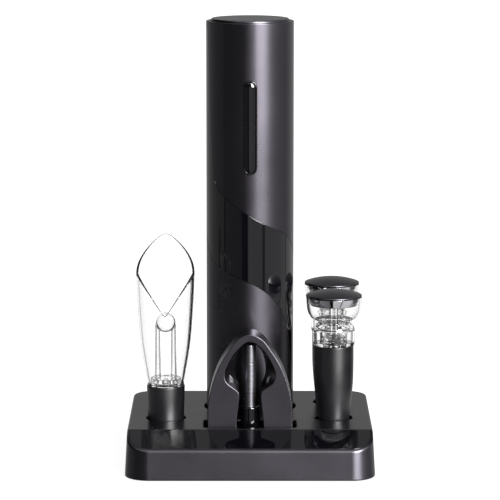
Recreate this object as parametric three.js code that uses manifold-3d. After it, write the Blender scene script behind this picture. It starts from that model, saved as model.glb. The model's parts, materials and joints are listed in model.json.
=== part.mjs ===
// Electric wine opener standing in its storage base, with a foil cutter, an aerating pourer and two
// vacuum stoppers. Millimetres, +Z up. The origin is the centre of the base's underside, the front
// is -Y. Each accessory is built in a group of its own, whose origin is its lowest point on its axis.
import * as THREE from "three";
import { mergeVertices } from "three/addons/utils/BufferGeometryUtils.js";
import Module from "manifold-3d";

const wasm = await Module();
wasm.setup();

// ---- Driving dimensions ----
const GAP = 0.3; // left between pieces that touch
const CASING = 40; // sides of the opener's casing
const ROUND = 24; // sides of a large round piece
const PIN_SIDES = 16; // sides of a thin pin that a gear turns on
const SMALL = 12; // sides of a small round piece
const PAST = 5; // how far a cutting tool runs past the face it cuts

const base = {
  width: 133.8, depth: 122, height: 25, corner: 13, edge: 1, wall: 2.4, topWall: 2.6,
  slopeStart: 18.5, slopeAngle: THREE.MathUtils.degToRad(24.3), panelThickness: 1.5,
  socketWall: 2, ribThickness: 1.6, ribY: [14, 36], plateThickness: 2.2,
};
const foot = { radius: 6, height: 1.6, proud: 1, inset: 16 };
const screw = {
  radius: 1.4, headRadius: 2.8, headHeight: 1, length: 9, driveSlot: 0.8, bossRadius: 3.6, x: 30, y: 50,
};

const opener = {
  y: 20, bottom: 15, radius: 24, length: 224, wall: 2.2, wellClearance: 1.4,
  shoulder: 1.4, capProud: 1.3, capDepth: 4.2, capEdge: 0.5,
};
const band = { depth: 0.8, start: -150, end: 155, steps: 61 }; // angles from the front, in degrees
const switchPart = {
  fromTop: 57.6, width: 7.7, length: 51.2, rim: 0.75, back: 3.5, proud: 0.25,
  rockerProud: 0.7, pinRadius: 0.8, pinInside: 1.4,
};
const board = {
  width: 20, length: 64, thickness: 1.6, inFront: 15.5, keySpacing: 38, keySize: 6, keyHeight: 1,
  plungerRadius: 1.6, plungerPlay: 1.3,
};
const port = { width: 9, height: 3.3, depth: 7, z: 148, inset: 0.3 };
const collar = { length: 18.2, mouthRadius: 17, neckRadius: 14.6, taper: 5 };
const guide = { radius: 13.2, wall: 2, length: 70.5, finThickness: 1.5, finInset: 2 };
const worm = {
  helixRadius: 3.2, wireRadius: 1.5, pitch: 9, tip: 22, straightFrom: 73, top: 80.5, stepsPerTurn: 9,
};
const chuck = { radius: 6.2, bottom: 74, length: 13, web: 2.3 };
const gear = {
  module: 0.6, sunTeeth: 12, planetTeeth: 18, ringTeeth: 48, backlash: 0.26, width: 7.2,
  addendum: 0.95, dedendum: 1.25, pressureAngle: THREE.MathUtils.degToRad(20),
};
const gearbox = {
  radius: 17.5, bottom: 89.6, hubRadius: 8, hubLength: 2.9, floor: 3.2, shaftRadius: 3.5,
  underCarrier: 1.3, underGears: 0.4, overGears: 2.4, plateThickness: 2,
};
const carrier = { radius: 12.6, thickness: 2, pinRadius: 1.3, pinPast: 0.4 };
const bushWall = 1.8;
const motor = {
  radius: 12.2, length: 32, shaftRadius: 1.15, shaftInside: 6.4, endRadius: 5, endHeight: 1.5, edge: 1,
};
const cell = { radius: 9.2, length: 65, offset: 9, bottom: 152, capRadius: 3.2, capHeight: 1.2 };
const chassis = {
  wall: 1.3, bottom: 92.5, underCap: 0.4, channelWidth: 22, channelStart: 4, channelPast: 2, behindBoard: 1,
  bulkheadThickness: 2, bulkheadInset: 8, shelfThickness: 1.4, overlap: 0.5,
};
const chassisTop = opener.length - opener.capDepth - chassis.underCap;

const cutter = {
  y: -28.2, bottom: 19.3, thickness: 18, slotClearance: 0.8, slotHalfWidth: 24.8,
  wheelRadius: 4.6, wheelThickness: 0.9, wheelPlay: 0.4, wheelX: 13.3, wheelZ: 28.4,
  pinRadius: 0.9, pinLength: 8,
};
const cutterOutside = [[22.9, 0], [22.8, 6.7], [22.1, 21], [17.3, 37.4], [9, 51], [0, 57.1]];
const cutterInside = [
  [7.3, 0], [7.1, 9.5], [6.2, 17], [5.9, 24.2], [8.6, 26.9], [12.6, 30.2], [13.5, 35.2], [11.2, 41.2],
  [6.6, 48.2], [0, 52.4],
];
// The opening narrows towards the back: the same points where they meet the back face.
const cutterInsideBack = [
  [7.3, 0], [7.1, 9.5], [6.2, 17], [5.9, 24.2], [6.4, 27.6], [8, 31], [8.4, 35.2], [7.4, 40.6],
  [4.8, 45.8], [0, 49.4],
];
const post = {
  radius: 3.2, bottom: 13, height: 48.6, groove: 0.4, grooveZ: 39.5, edge: 1,
  pedestalRadius: 5.2, pedestalEdge: 0.8, seatDepth: 2.6, footRadius: 6.6, footHeight: 2.4,
};

const pourer = {
  edgeInset: 21.1, y: -12, bottom: 12, wall: 1.3, boreRadius: 6.6, socketRadius: 10.85,
  neckRadius: 6.2, neckInside: 9, bulbRadius: 5.6, bulbZ: 65.8, tubeRadius: 1.5, tubeX: 4.85,
  discThickness: 2.4, discHoleRadius: 1.4, discHoleOrbit: 4.6, discHoles: 6,
};
const pourerSleeve = [[9.4, 0], [9.8, 12.6], [10.35, 31.1]];
const pourerGlass = [
  [9.9, 31.4], [10.2, 34], [11.15, 39.3], [13.7, 55.9], [15.3, 77.9], [15.85, 92.8], [15.5, 104],
  [14.6, 114.1],
];
// The mouth's edge seen from the front, as [x, z] for one side: a V in front and a leaf's tip behind.
const mouthFront = [[0, 70.8], [16, 93]];
const mouthBack = [[0, 111.6], [2.7, 110.8], [7.8, 105.9], [12.8, 100.2], [15, 96.9], [16, 93]];

const stopper = {
  edgeInset: 21.4, rows: { front: -12, rear: 30 }, bottom: 12, socketRadius: 10.3, plugTop: 51.7,
  airway: 2.5, bodyWall: 1.6, bodyFloor: 2, bowlWall: 1.2, barrelRadius: 6.6, barrelWall: 1, barrelTop: 61.6,
  rodRadius: 2.2, headLength: 3.5, headLift: 1, ringHeight: 4.6, ringTaper: 1, ringWall: 2,
  capRadius: 15.3, capLip: 1, capDome: 3.4, capPlug: 3.4, domeRadius: 11, domeFall: 0.6,
};
const stopperPlug = [[8, 0], [8.7, 12.6], [10.6, 33.2], [10.8, 51.7]];
const stopperBody = [[11.35, 52], [11.35, 62.4], [10.9, 63.8], [8.9, 65.2], [8.4, 65.9]];
const stopperBowl = [[8.6, 66.5], [11.5, 67.9], [13.2, 69.6], [14.65, 73.2], [15.2, 79.9]];

// ---- Materials ----
function material(color, roughness, metalness = 0, opacity = 1) {
  return new THREE.MeshStandardMaterial({ color, roughness, metalness, opacity, transparent: opacity < 1 });
}
const satinBlack = material(0x3a393f, 0.35, 0.6);
const matteBlack = material(0x1c1b1f, 0.5);
const glossBlack = material(0x08080a, 0.08);
const siliconeBlack = material(0x141316, 0.55);
const clear = material(0xf2f5f6, 0.05, 0, 0.35);
const steel = material(0xb9bbc0, 0.25, 1);
const chrome = material(0xdadce0, 0.08, 1);
const brass = material(0xb08d4a, 0.35, 1);
const whitePlastic = material(0xdcdad4, 0.45);
const greenBoard = material(0x1f5a37, 0.5);
const cellWrap = material(0x2c5f9e, 0.4);

// ---- Solids: joining and cutting closed geometries ----
function toSolid(geometry) {
  const bare = geometry.clone();
  bare.deleteAttribute("normal");
  bare.deleteAttribute("uv");
  const merged = mergeVertices(bare, 1e-4);
  return new wasm.Manifold(new wasm.Mesh({
    numProp: 3,
    vertProperties: merged.attributes.position.array,
    triVerts: new Uint32Array(merged.index.array),
  }));
}

function toGeometry(solid) {
  const mesh = solid.getMesh();
  const geometry = new THREE.BufferGeometry();
  geometry.setAttribute("position", new THREE.BufferAttribute(mesh.vertProperties, 3));
  geometry.setIndex(new THREE.BufferAttribute(mesh.triVerts, 1));
  geometry.computeVertexNormals();
  return geometry;
}

function join(...geometries) {
  return toGeometry(geometries.map(toSolid).reduce((whole, next) => whole.add(next)));
}

function cut(geometry, ...tools) {
  return toGeometry(tools.map(toSolid).reduce((rest, tool) => rest.subtract(tool), toSolid(geometry)));
}

function common(first, second) {
  return toGeometry(toSolid(first).intersect(toSolid(second)));
}

// ---- Shapes ----
function block(x0, x1, y0, y1, z0, z1) {
  const box = new THREE.BoxGeometry(x1 - x0, y1 - y0, z1 - z0);
  return box.translate((x0 + x1) / 2, (y0 + y1) / 2, (z0 + z1) / 2);
}

// A profile of [radius, z] points turned about Z: it starts and ends on the axis, or closes on itself.
function lathe(profile, sides = ROUND) {
  const points = profile.map(([r, z]) => new THREE.Vector2(r, z));
  if (THREE.ShapeUtils.area(points) < 0) points.reverse();
  const closed = points[0].x === 0 && points.at(-1).x === 0;
  if (!closed) points.push(points[0].clone());
  return new THREE.LatheGeometry(points, sides).rotateX(Math.PI / 2);
}

function disc(radius, z0, z1, sides = ROUND) {
  return lathe([[0, z0], [radius, z0], [radius, z1], [0, z1]], sides);
}

function tube(inner, outer, z0, z1, sides = ROUND) {
  return lathe([[inner, z0], [outer, z0], [outer, z1], [inner, z1]], sides);
}

// A round bar along X or Y, centred at (x, y, z).
function crossBar(radius, length, along, x, y, z, sides = SMALL) {
  const bar = new THREE.CylinderGeometry(radius, radius, length, sides);
  if (along === "x") bar.rotateZ(Math.PI / 2);
  return bar.translate(x, y, z);
}

function extruded(shape, z0, z1, options = {}) {
  const geometry = new THREE.ExtrudeGeometry(shape, {
    depth: z1 - z0, bevelEnabled: false, curveSegments: 6, ...options,
  });
  return geometry.translate(0, 0, z0);
}

function roundedRectangle(width, depth, corner) {
  const x = width / 2 - corner;
  const y = depth / 2 - corner;
  const shape = new THREE.Shape();
  shape.absarc(x, -y, corner, -Math.PI / 2, 0);
  shape.absarc(x, y, corner, 0, Math.PI / 2);
  shape.absarc(-x, y, corner, Math.PI / 2, Math.PI);
  shape.absarc(-x, -y, corner, Math.PI, Math.PI * 1.5);
  shape.closePath();
  return shape;
}

// A prism along X, from [y, z] points.
function prismAlongX(points, halfLength) {
  const shape = new THREE.Shape(points.map(([y, z]) => new THREE.Vector2(y, z)));
  const prism = new THREE.ExtrudeGeometry(shape, { depth: 2 * halfLength, bevelEnabled: false });
  // The shape's own x, y become y, z, and its depth becomes x.
  prism.applyMatrix4(new THREE.Matrix4().set(0, 0, 1, -halfLength, 1, 0, 0, 0, 0, 1, 0, 0, 0, 0, 0, 1));
  return prism;
}

// An upright oblong with round ends on the opener's front, from y0 to y1.
function oblong(width, length, y0, y1, centreZ) {
  const radius = width / 2;
  const straight = length / 2 - radius;
  const shape = new THREE.Shape();
  shape.absarc(0, straight, radius, 0, Math.PI);
  shape.absarc(0, -straight, radius, Math.PI, 2 * Math.PI);
  shape.closePath();
  const bar = new THREE.ExtrudeGeometry(shape, { depth: y1 - y0, bevelEnabled: false, curveSegments: 6 });
  return bar.rotateX(Math.PI / 2).translate(0, y1, centreZ);
}

function add(parent, name, geometry, colour) {
  const mesh = new THREE.Mesh(geometry, colour);
  mesh.name = name;
  parent.add(mesh);
  return mesh;
}

function placed(x, y, z) {
  const group = new THREE.Group();
  group.position.set(x, y, z);
  return group;
}

const clearOf = (radius) => radius + GAP;
const pourerX = -(base.width / 2 - pourer.edgeInset);
const stopperX = base.width / 2 - stopper.edgeInset;

// ---- Storage base ----
const slopeTop = -base.depth / 2 + base.slopeStart; // y where the top turns down to the front

// [y, z] of a point on the slope, `along` down it and `below` under its face.
function onSlope(along, below) {
  const cos = Math.cos(base.slopeAngle);
  const sin = Math.sin(base.slopeAngle);
  return [slopeTop - along * cos + below * sin, base.height - along * sin - below * cos];
}

// Everything higher than a plane `below` under the slope's face.
function aboveSlope(below) {
  const far = 2 * base.slopeStart;
  const high = -4 * PAST;
  const points = [onSlope(-GAP, below), onSlope(far, below), onSlope(far, high), onSlope(-GAP, high)];
  return prismAlongX(points, base.width);
}

function baseBlock(inset, z0, z1) {
  const outline = roundedRectangle(base.width - 2 * inset, base.depth - 2 * inset, base.corner - inset);
  return extruded(outline, z0, z1);
}

function screwPlaces() {
  return [-1, 1].flatMap((side) => [-1, 1].map((end) => [side * screw.x, end * screw.y]));
}

function makeBaseShell() {
  const edge = base.edge;
  const outline = roundedRectangle(base.width - 2 * edge, base.depth - 2 * edge, base.corner - edge);
  const outer = extruded(outline, foot.proud + edge, base.height - edge, {
    bevelEnabled: true, bevelSize: edge, bevelThickness: edge, bevelSegments: 1,
  });
  const panelSeat = aboveSlope(base.panelThickness + GAP);
  const shape = cut(outer, panelSeat);
  const hollow = cut(
    baseBlock(base.wall, foot.proud - PAST, base.height - base.topWall),
    aboveSlope(base.panelThickness + GAP + base.wall),
  );
  const plateTop = foot.proud + base.plateThickness + GAP;
  const wellRadius = opener.radius + opener.wellClearance;
  const sockets = [
    [wellRadius, 0, opener.y, opener.bottom - GAP],
    [pourer.socketRadius, pourerX, pourer.y, pourer.bottom - GAP],
    ...Object.values(stopper.rows).map((y) => [stopper.socketRadius, stopperX, y, stopper.bottom - GAP]),
  ]; // radius, x, y and floor of each
  const slotHalfDepth = cutter.thickness / 2 + cutter.slotClearance;
  const slotFloor = cutter.bottom - GAP;
  const slotBlock = (grow, z0, z1) => block(
    -cutter.slotHalfWidth - grow, cutter.slotHalfWidth + grow,
    cutter.y - slotHalfDepth - grow, cutter.y + slotHalfDepth + grow, z0, z1,
  );
  const cups = sockets.map(([radius, x, y, floor]) =>
    disc(radius + base.socketWall, floor - base.socketWall, base.height).translate(x, y, 0));
  const ribs = base.ribY.map((y) => block(
    -base.width / 2 + base.wall / 2, -opener.radius, y, y + base.ribThickness,
    plateTop, base.height - base.topWall / 2,
  ));
  const bosses = screwPlaces().map(([x, y]) =>
    disc(screw.bossRadius, plateTop, base.height, SMALL).translate(x, y, 0));
  const slotCup = slotBlock(base.socketWall, slotFloor - post.footHeight - base.socketWall, base.height);
  const inside = join(slotCup, ...cups, ...ribs, ...bosses);
  const shell = join(cut(shape, hollow), common(inside, shape));
  const holes = sockets.map(([radius, x, y, floor]) =>
    disc(radius, floor, base.height + PAST).translate(x, y, 0));
  const screwHoles = screwPlaces().map(([x, y]) =>
    disc(clearOf(screw.radius), foot.proud, foot.proud + screw.length + GAP, SMALL).translate(x, y, 0));
  const postSeat = disc(clearOf(post.footRadius), slotFloor - post.footHeight, base.height, SMALL);
  const slot = slotBlock(0, slotFloor, base.height + PAST);
  return cut(shell, ...holes, ...screwHoles, slot, postSeat.translate(0, cutter.y, 0));
}

function makeFrontPanel() {
  const slab = [
    onSlope(0, 0), onSlope(2 * base.slopeStart, 0),
    onSlope(2 * base.slopeStart, base.panelThickness), onSlope(0, base.panelThickness),
  ];
  return common(baseBlock(0, foot.proud, base.height + PAST), prismAlongX(slab, base.width));
}

function footPlaces() {
  const x = base.width / 2 - foot.inset;
  const y = base.depth / 2 - foot.inset;
  return { front_left: [-x, -y], front_right: [x, -y], rear_left: [-x, y], rear_right: [x, y] };
}

function makeBottomPlate() {
  const bottom = foot.proud;
  const plate = baseBlock(base.wall + GAP, bottom, bottom + base.plateThickness);
  const footSeats = Object.values(footPlaces()).map(([x, y]) =>
    disc(clearOf(foot.radius), bottom - PAST, foot.height + GAP, SMALL).translate(x, y, 0));
  const screwSeats = screwPlaces().flatMap(([x, y]) => [
    disc(clearOf(screw.radius), bottom - PAST, bottom + PAST, SMALL).translate(x, y, 0),
    disc(clearOf(screw.headRadius), bottom - PAST, bottom + screw.headHeight, SMALL).translate(x, y, 0),
  ]);
  return cut(plate, ...footSeats, ...screwSeats);
}

function makeBaseScrew() {
  const headTop = foot.proud + screw.headHeight - GAP;
  const head = disc(screw.headRadius, foot.proud, headTop, SMALL);
  const half = screw.driveSlot / 2;
  const driveSlot = block(-screw.headRadius, screw.headRadius, -half, half, 0, foot.proud + half);
  return cut(join(head, disc(screw.radius, foot.proud, screw.length, SMALL)), driveSlot);
}

// A round foot in the slot's floor that carries the steel post under the foil cutter's arch.
function makePostPedestal() {
  const foundation = -post.footHeight;
  const top = post.bottom + post.seatDepth;
  const edge = post.pedestalEdge;
  return lathe([
    [0, foundation], [post.footRadius, foundation], [post.footRadius, -GAP], [post.pedestalRadius, -GAP],
    [post.pedestalRadius, top - edge], [post.pedestalRadius - edge, top], [clearOf(post.radius), top],
    [clearOf(post.radius), post.bottom], [0, post.bottom],
  ], SMALL);
}

function makeCutterPost() {
  const { radius, groove, grooveZ, edge } = post;
  return lathe([
    [0, post.bottom + GAP], [radius, post.bottom + GAP],
    [radius, grooveZ - groove], [radius - groove, grooveZ], [radius, grooveZ + groove],
    [radius, post.height - edge], [radius - edge, post.height], [0, post.height],
  ], SMALL);
}

function makeBase() {
  const group = new THREE.Group();
  add(group, "base_shell", makeBaseShell(), satinBlack);
  add(group, "front_panel", makeFrontPanel(), glossBlack);
  add(group, "bottom_plate", makeBottomPlate(), matteBlack);
  for (const [place, [x, y]] of Object.entries(footPlaces())) {
    const pad = disc(foot.radius, 0, foot.height, SMALL);
    add(group, `foot_${place}`, pad.translate(x, y, 0), siliconeBlack);
  }
  screwPlaces().forEach(([x, y], index) => {
    add(group, `base_screw_${index + 1}`, makeBaseScrew().translate(x, y, 0), steel);
  });
  add(group, "post_pedestal", makePostPedestal().translate(0, cutter.y, cutter.bottom), glossBlack);
  add(group, "cutter_post", makeCutterPost().translate(0, cutter.y, cutter.bottom), steel);
  return group;
}

// ---- Opener: casing ----
const innerRadius = opener.radius - opener.wall;
const switchZ = opener.length + opener.capProud - switchPart.fromTop;
const frontY = -opener.radius;

// The gloss band's lower and upper edges, as [angle from the front in degrees, z] along the tube.
const bandLower = [
  [-150, 220.4], [-120, 162], [-95, 124], [-75, 103], [-51, 91.8], [-13, 85], [8, 80.9], [29, 74.6],
  [43, 67.9], [51, 61.9], [58, 55.1], [68, 38], [79, 8], [155, 8],
];
const bandUpper = [
  [-150, 221], [-74, 221], [-68, 205], [-62, 171], [-57, 149], [-52, 137], [-35, 129.5], [0, 119.4],
  [19, 114.9], [48, 109.3], [64, 104.8], [85, 93], [110, 66], [155, 8.6],
];

function edgeHeight(edge, angle) {
  const next = edge.findIndex(([at]) => at >= angle);
  if (next <= 0) return edge.at(next === 0 ? 0 : -1)[1];
  const [from, low] = edge[next - 1];
  const [to, high] = edge[next];
  return THREE.MathUtils.lerp(low, high, (angle - from) / (to - from));
}

// A curved plate between two radii, whose edges follow the band's edges, grown all round by `grow`.
function bandPlate(inner, outer, grow) {
  const beside = 2 * THREE.MathUtils.radToDeg(grow / opener.radius);
  const positions = [];
  const indices = [];
  for (let step = 0; step <= band.steps; step++) {
    const angle = THREE.MathUtils.lerp(band.start, band.end, step / band.steps);
    const past = (step === band.steps) - (step === 0);
    const turn = THREE.MathUtils.degToRad(angle + past * beside);
    const near = [angle - beside, angle, angle + beside];
    const low = Math.min(...near.map((at) => edgeHeight(bandLower, at))) - grow;
    const high = Math.max(...near.map((at) => edgeHeight(bandUpper, at))) + grow;
    for (const [radius, z] of [[inner, low], [outer, low], [outer, high], [inner, high]]) {
      positions.push(radius * Math.sin(turn), -radius * Math.cos(turn), z);
    }
  }
  for (let step = 0; step < band.steps; step++) {
    for (let side = 0; side < 4; side++) {
      const here = step * 4 + side;
      const across = step * 4 + ((side + 1) % 4);
      indices.push(here, here + 4, across, across, here + 4, across + 4);
    }
  }
  const last = band.steps * 4;
  indices.push(0, 1, 2, 0, 2, 3, last, last + 2, last + 1, last, last + 3, last + 2);
  const geometry = new THREE.BufferGeometry();
  geometry.setAttribute("position", new THREE.Float32BufferAttribute(positions, 3));
  geometry.setIndex(indices);
  return geometry;
}

// The hole for the switch, from in front of the casing back to y1.
function switchOpening(y1) {
  return oblong(switchPart.width + 2 * GAP, switchPart.length + 2 * GAP, frontY - PAST, y1, switchZ);
}

function makeOuterSleeve() {
  const top = opener.length;
  const tubeShape = lathe([
    [innerRadius, 0], [opener.radius, 0], [opener.radius, top - opener.shoulder],
    [opener.radius - opener.shoulder, top], [innerRadius, top],
  ], CASING);
  const bandSeat = bandPlate(opener.radius - band.depth - GAP, opener.radius + PAST, GAP);
  const portSlot = portShape(GAP, opener.radius + PAST);
  return cut(tubeShape, bandSeat, switchOpening(frontY + PAST), portSlot);
}

function portShape(grow, outerY) {
  const inner = opener.radius - port.inset - port.depth;
  const half = port.width / 2 + grow;
  const halfHeight = port.height / 2 + grow;
  return block(-half, half, inner - grow, outerY, port.z - halfHeight, port.z + halfHeight);
}

function makeTopCap() {
  const radius = innerRadius - GAP;
  const top = opener.length + opener.capProud;
  const bottom = opener.length - opener.capDepth;
  const edge = opener.capEdge;
  return lathe([[0, bottom], [radius, bottom], [radius, top - edge], [radius - edge, top], [0, top]]);
}

const pinY = frontY + switchPart.back - switchPart.pinInside;

// A bar along X through the rocker and its surround, on the axis that the rocker tilts about.
function rockerAxle(radius, length) {
  return crossBar(radius, length, "x", 0, pinY, switchZ);
}

function makeSwitchSurround() {
  const { width, length, rim } = switchPart;
  const y0 = frontY - switchPart.proud;
  const y1 = frontY + switchPart.back;
  const frame = oblong(width, length, y0, y1, switchZ);
  const window = oblong(width - 2 * rim, length - 2 * rim, y0 - PAST, y1 + PAST, switchZ);
  return cut(frame, window, rockerAxle(clearOf(switchPart.pinRadius), width + PAST));
}

function makeRocker() {
  const rim = switchPart.rim + GAP;
  const bar = oblong(
    switchPart.width - 2 * rim, switchPart.length - 2 * rim,
    frontY - switchPart.rockerProud, frontY + switchPart.back, switchZ,
  );
  return cut(bar, rockerAxle(clearOf(switchPart.pinRadius), switchPart.width));
}

function makeKeySwitch(sign) {
  const half = board.keySize / 2;
  const z = switchZ + sign * board.keySpacing / 2;
  const back = -board.inFront - board.thickness - GAP;
  const body = block(-half, half, back - board.keyHeight, back, z - half, z + half);
  const plungerEnd = frontY + switchPart.back + board.plungerPlay;
  const plunger = crossBar(board.plungerRadius, back - plungerEnd, "y", 0, (back + plungerEnd) / 2, z);
  return join(body, plunger);
}

// ---- Opener: bottle collar, cork guide, corkscrew ----
function makeBottleCollar() {
  const outer = innerRadius - GAP;
  return lathe([
    [collar.mouthRadius, 0], [outer, 0], [outer, collar.length], [collar.neckRadius, collar.length],
    [collar.neckRadius, collar.taper],
  ]);
}

function makeCorkGuide() {
  const z0 = collar.length + GAP;
  const z1 = z0 + guide.length;
  const outer = guide.radius + guide.wall;
  const reach = innerRadius - GAP;
  const half = guide.finThickness / 2;
  const fins = [1, 3].map((eighths) =>
    block(-reach, reach, -half, half, z0 + guide.finInset, z1 - guide.finInset)
      .rotateZ((eighths * Math.PI) / 4));
  return cut(join(disc(outer, z0, z1), ...fins), disc(guide.radius, z0 - PAST, z1 + PAST));
}

// The worm's centre line: a helix that closes in to the axis near the top and ends as a straight shank.
class WormCurve extends THREE.Curve {
  getPoint(t, target = new THREE.Vector3()) {
    const z = THREE.MathUtils.lerp(worm.tip, worm.top, t);
    const closing = THREE.MathUtils.smoothstep(z, worm.straightFrom - worm.pitch, worm.straightFrom);
    const radius = worm.helixRadius * (1 - closing);
    const turn = (2 * Math.PI * (z - worm.tip)) / worm.pitch;
    return target.set(radius * Math.cos(turn), radius * Math.sin(turn), z);
  }
}

function makeCorkscrew() {
  const section = new THREE.Shape();
  section.absarc(0, 0, worm.wireRadius, 0, 2 * Math.PI);
  const turns = (worm.top - worm.tip) / worm.pitch;
  return new THREE.ExtrudeGeometry(section, {
    steps: Math.round(worm.stepsPerTurn * turns), curveSegments: 3, extrudePath: new WormCurve(),
    bevelEnabled: false,
  });
}

const shaftBottom = worm.top + chuck.web; // the web is left between the worm's socket and the shaft's

function makeChuck() {
  const top = chuck.bottom + chuck.length;
  const wormSocket = disc(clearOf(worm.wireRadius), chuck.bottom - PAST, worm.top + GAP, SMALL);
  const shaftSocket = disc(clearOf(gearbox.shaftRadius), shaftBottom - GAP, top + PAST, SMALL);
  return cut(disc(chuck.radius, chuck.bottom, top, SMALL), wormSocket, shaftSocket);
}

// ---- Opener: planetary gearbox ----
const gearFloorTop = gearbox.bottom + gearbox.hubLength + gearbox.floor;
const carrierBottom = gearFloorTop + gearbox.underCarrier;
const gearBottom = carrierBottom + carrier.thickness + gearbox.underGears;
const ringTop = gearBottom + gear.width + gearbox.overGears;
const motorPlateTop = ringTop + GAP + gearbox.plateThickness;
const motorBottom = motorPlateTop + GAP;
const orbitRadius = (gear.module * (gear.sunTeeth + gear.planetTeeth)) / 2;

// A closed outline of straight-sided teeth; `inward` teeth belong to the ring.
function toothOutline(teeth, inward, path) {
  const pitchRadius = (gear.module * teeth) / 2;
  const sign = inward ? -1 : 1;
  const above = gear.addendum * gear.module;
  const below = gear.dedendum * gear.module;
  const tip = pitchRadius + sign * above;
  const root = pitchRadius - sign * below;
  const halfAtPitch = (Math.PI * gear.module) / 4 - gear.backlash / 2;
  const lean = Math.tan(gear.pressureAngle);
  const tipHalf = (halfAtPitch - above * lean) / tip;
  const rootHalf = (halfAtPitch + below * lean) / root;
  for (let tooth = 0; tooth < teeth; tooth++) {
    const middle = (2 * Math.PI * tooth) / teeth;
    for (const [radius, offset] of [[root, -rootHalf], [tip, -tipHalf], [tip, tipHalf], [root, rootHalf]]) {
      const x = radius * Math.cos(middle + offset);
      const y = radius * Math.sin(middle + offset);
      if (tooth === 0 && offset === -rootHalf) path.moveTo(x, y);
      else path.lineTo(x, y);
    }
  }
  path.closePath();
  return path;
}

function makeSpurGear(teeth, boreRadius) {
  const shape = toothOutline(teeth, false, new THREE.Shape());
  const bore = new THREE.Path();
  bore.absarc(0, 0, boreRadius, 0, 2 * Math.PI);
  shape.holes.push(bore);
  return extruded(shape, gearBottom, gearBottom + gear.width);
}

function makeRingGear() {
  const shape = new THREE.Shape();
  shape.absarc(0, 0, gearbox.radius, 0, 2 * Math.PI);
  shape.holes.push(toothOutline(gear.ringTeeth, true, new THREE.Path()));
  return extruded(shape, gearFloorTop + GAP, ringTop, { curveSegments: ROUND / 2 });
}

function makeGearboxFloor() {
  const bore = clearOf(gearbox.shaftRadius + GAP + bushWall);
  const floorBottom = gearbox.bottom + gearbox.hubLength;
  return lathe([
    [bore, gearbox.bottom], [gearbox.hubRadius, gearbox.bottom], [gearbox.hubRadius, floorBottom],
    [gearbox.radius, floorBottom], [gearbox.radius, gearFloorTop], [bore, gearFloorTop],
  ]);
}

function makeCarrier() {
  const plate = disc(carrier.radius, carrierBottom, carrierBottom + carrier.thickness);
  const inPlate = carrierBottom + carrier.thickness / 2;
  const shaft = disc(gearbox.shaftRadius, shaftBottom, inPlate, SMALL);
  const pinTop = gearBottom + gear.width + carrier.pinPast;
  const pins = planetTurns().map((turn) =>
    disc(carrier.pinRadius, inPlate, pinTop, PIN_SIDES).translate(orbitRadius, 0, 0).rotateZ(turn));
  return join(plate, shaft, ...pins);
}

const planetTurns = () => [0, 1, 2].map((index) => (index * 2 * Math.PI) / 3);

function addGearbox(group, outputGroup) {
  add(group, "gearbox_floor", makeGearboxFloor(), matteBlack);
  const bushInner = clearOf(gearbox.shaftRadius);
  const bush = tube(bushInner, bushInner + bushWall, gearbox.bottom + GAP, gearFloorTop, SMALL);
  const motorPlate = tube(motor.endRadius - GAP, gearbox.radius, ringTop + GAP, motorPlateTop);
  add(group, "output_bush", bush, brass);
  add(group, "ring_gear", makeRingGear(), steel);
  add(group, "motor_plate", motorPlate, steel);
  add(outputGroup, "planet_carrier", makeCarrier(), steel);
  planetTurns().forEach((turn, index) => {
    // Half a tooth of turn puts a gap towards the sun gear and another towards a ring tooth.
    const planet = makeSpurGear(gear.planetTeeth, clearOf(carrier.pinRadius));
    planet.rotateZ(Math.PI / gear.planetTeeth).translate(orbitRadius, 0, 0).rotateZ(turn);
    add(group, `planet_gear_${index + 1}`, planet, whitePlastic);
  });
  const motorShaft = disc(motor.shaftRadius, gearBottom, motorBottom + motor.shaftInside, PIN_SIDES);
  add(group, "sun_gear", makeSpurGear(gear.sunTeeth, clearOf(motor.shaftRadius)), brass);
  add(group, "motor_shaft", motorShaft, steel);
}

// ---- Opener: motor, cell, board and inner chassis ----
function makeMotor() {
  const top = motorBottom + motor.length;
  const bore = clearOf(motor.shaftRadius);
  const boreTop = motorBottom + motor.shaftInside + GAP;
  const { radius, edge } = motor;
  return lathe([
    [0, boreTop], [bore, boreTop], [bore, motorBottom], [radius - edge, motorBottom],
    [radius, motorBottom + edge], [radius, top - edge], [radius - edge, top], [motor.endRadius, top],
    [motor.endRadius, top + motor.endHeight], [0, top + motor.endHeight],
  ]);
}

function makeCell() {
  const top = cell.bottom + cell.length;
  const body = lathe([
    [0, cell.bottom], [cell.radius, cell.bottom], [cell.radius, top - cell.capHeight],
    [cell.capRadius, top - cell.capHeight], [cell.capRadius, top], [0, top],
  ]);
  return body.translate(0, cell.offset, 0);
}

// Half of the inner frame: a half tube with bulkheads that hold the motor and carry the cell.
function makeChassisHalf(side) {
  const outer = innerRadius - GAP;
  const inner = outer - chassis.wall;
  const inWall = inner + chassis.overlap;
  const motorTop = motorBottom + motor.length;
  const bulkhead = (z) => tube(clearOf(motor.radius), inWall, z, z + chassis.bulkheadThickness);
  const shelf = (top) => disc(inWall, top - chassis.shelfThickness, top);
  const whole = join(
    tube(inner, outer, chassis.bottom, chassisTop),
    bulkhead(motorBottom + chassis.bulkheadInset), bulkhead(motorTop - chassis.bulkheadInset),
    shelf(cell.bottom - GAP), shelf(chassisTop),
  );
  const far = opener.radius + PAST;
  const edge = side * GAP / 2;
  const [y0, y1] = side < 0 ? [edge, far] : [-far, edge];
  const otherHalf = block(-far, far, y0, y1, chassis.bottom - PAST, chassisTop + PAST);
  const channelHalf = chassis.channelWidth / 2;
  const channel = block(
    -channelHalf, channelHalf, -inner, -board.inFront + chassis.behindBoard,
    motorBottom + chassis.channelStart, switchZ + board.length / 2 + chassis.channelPast,
  );
  return cut(whole, otherHalf, channel, switchOpening(-board.inFront), portShape(GAP, far));
}

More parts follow.
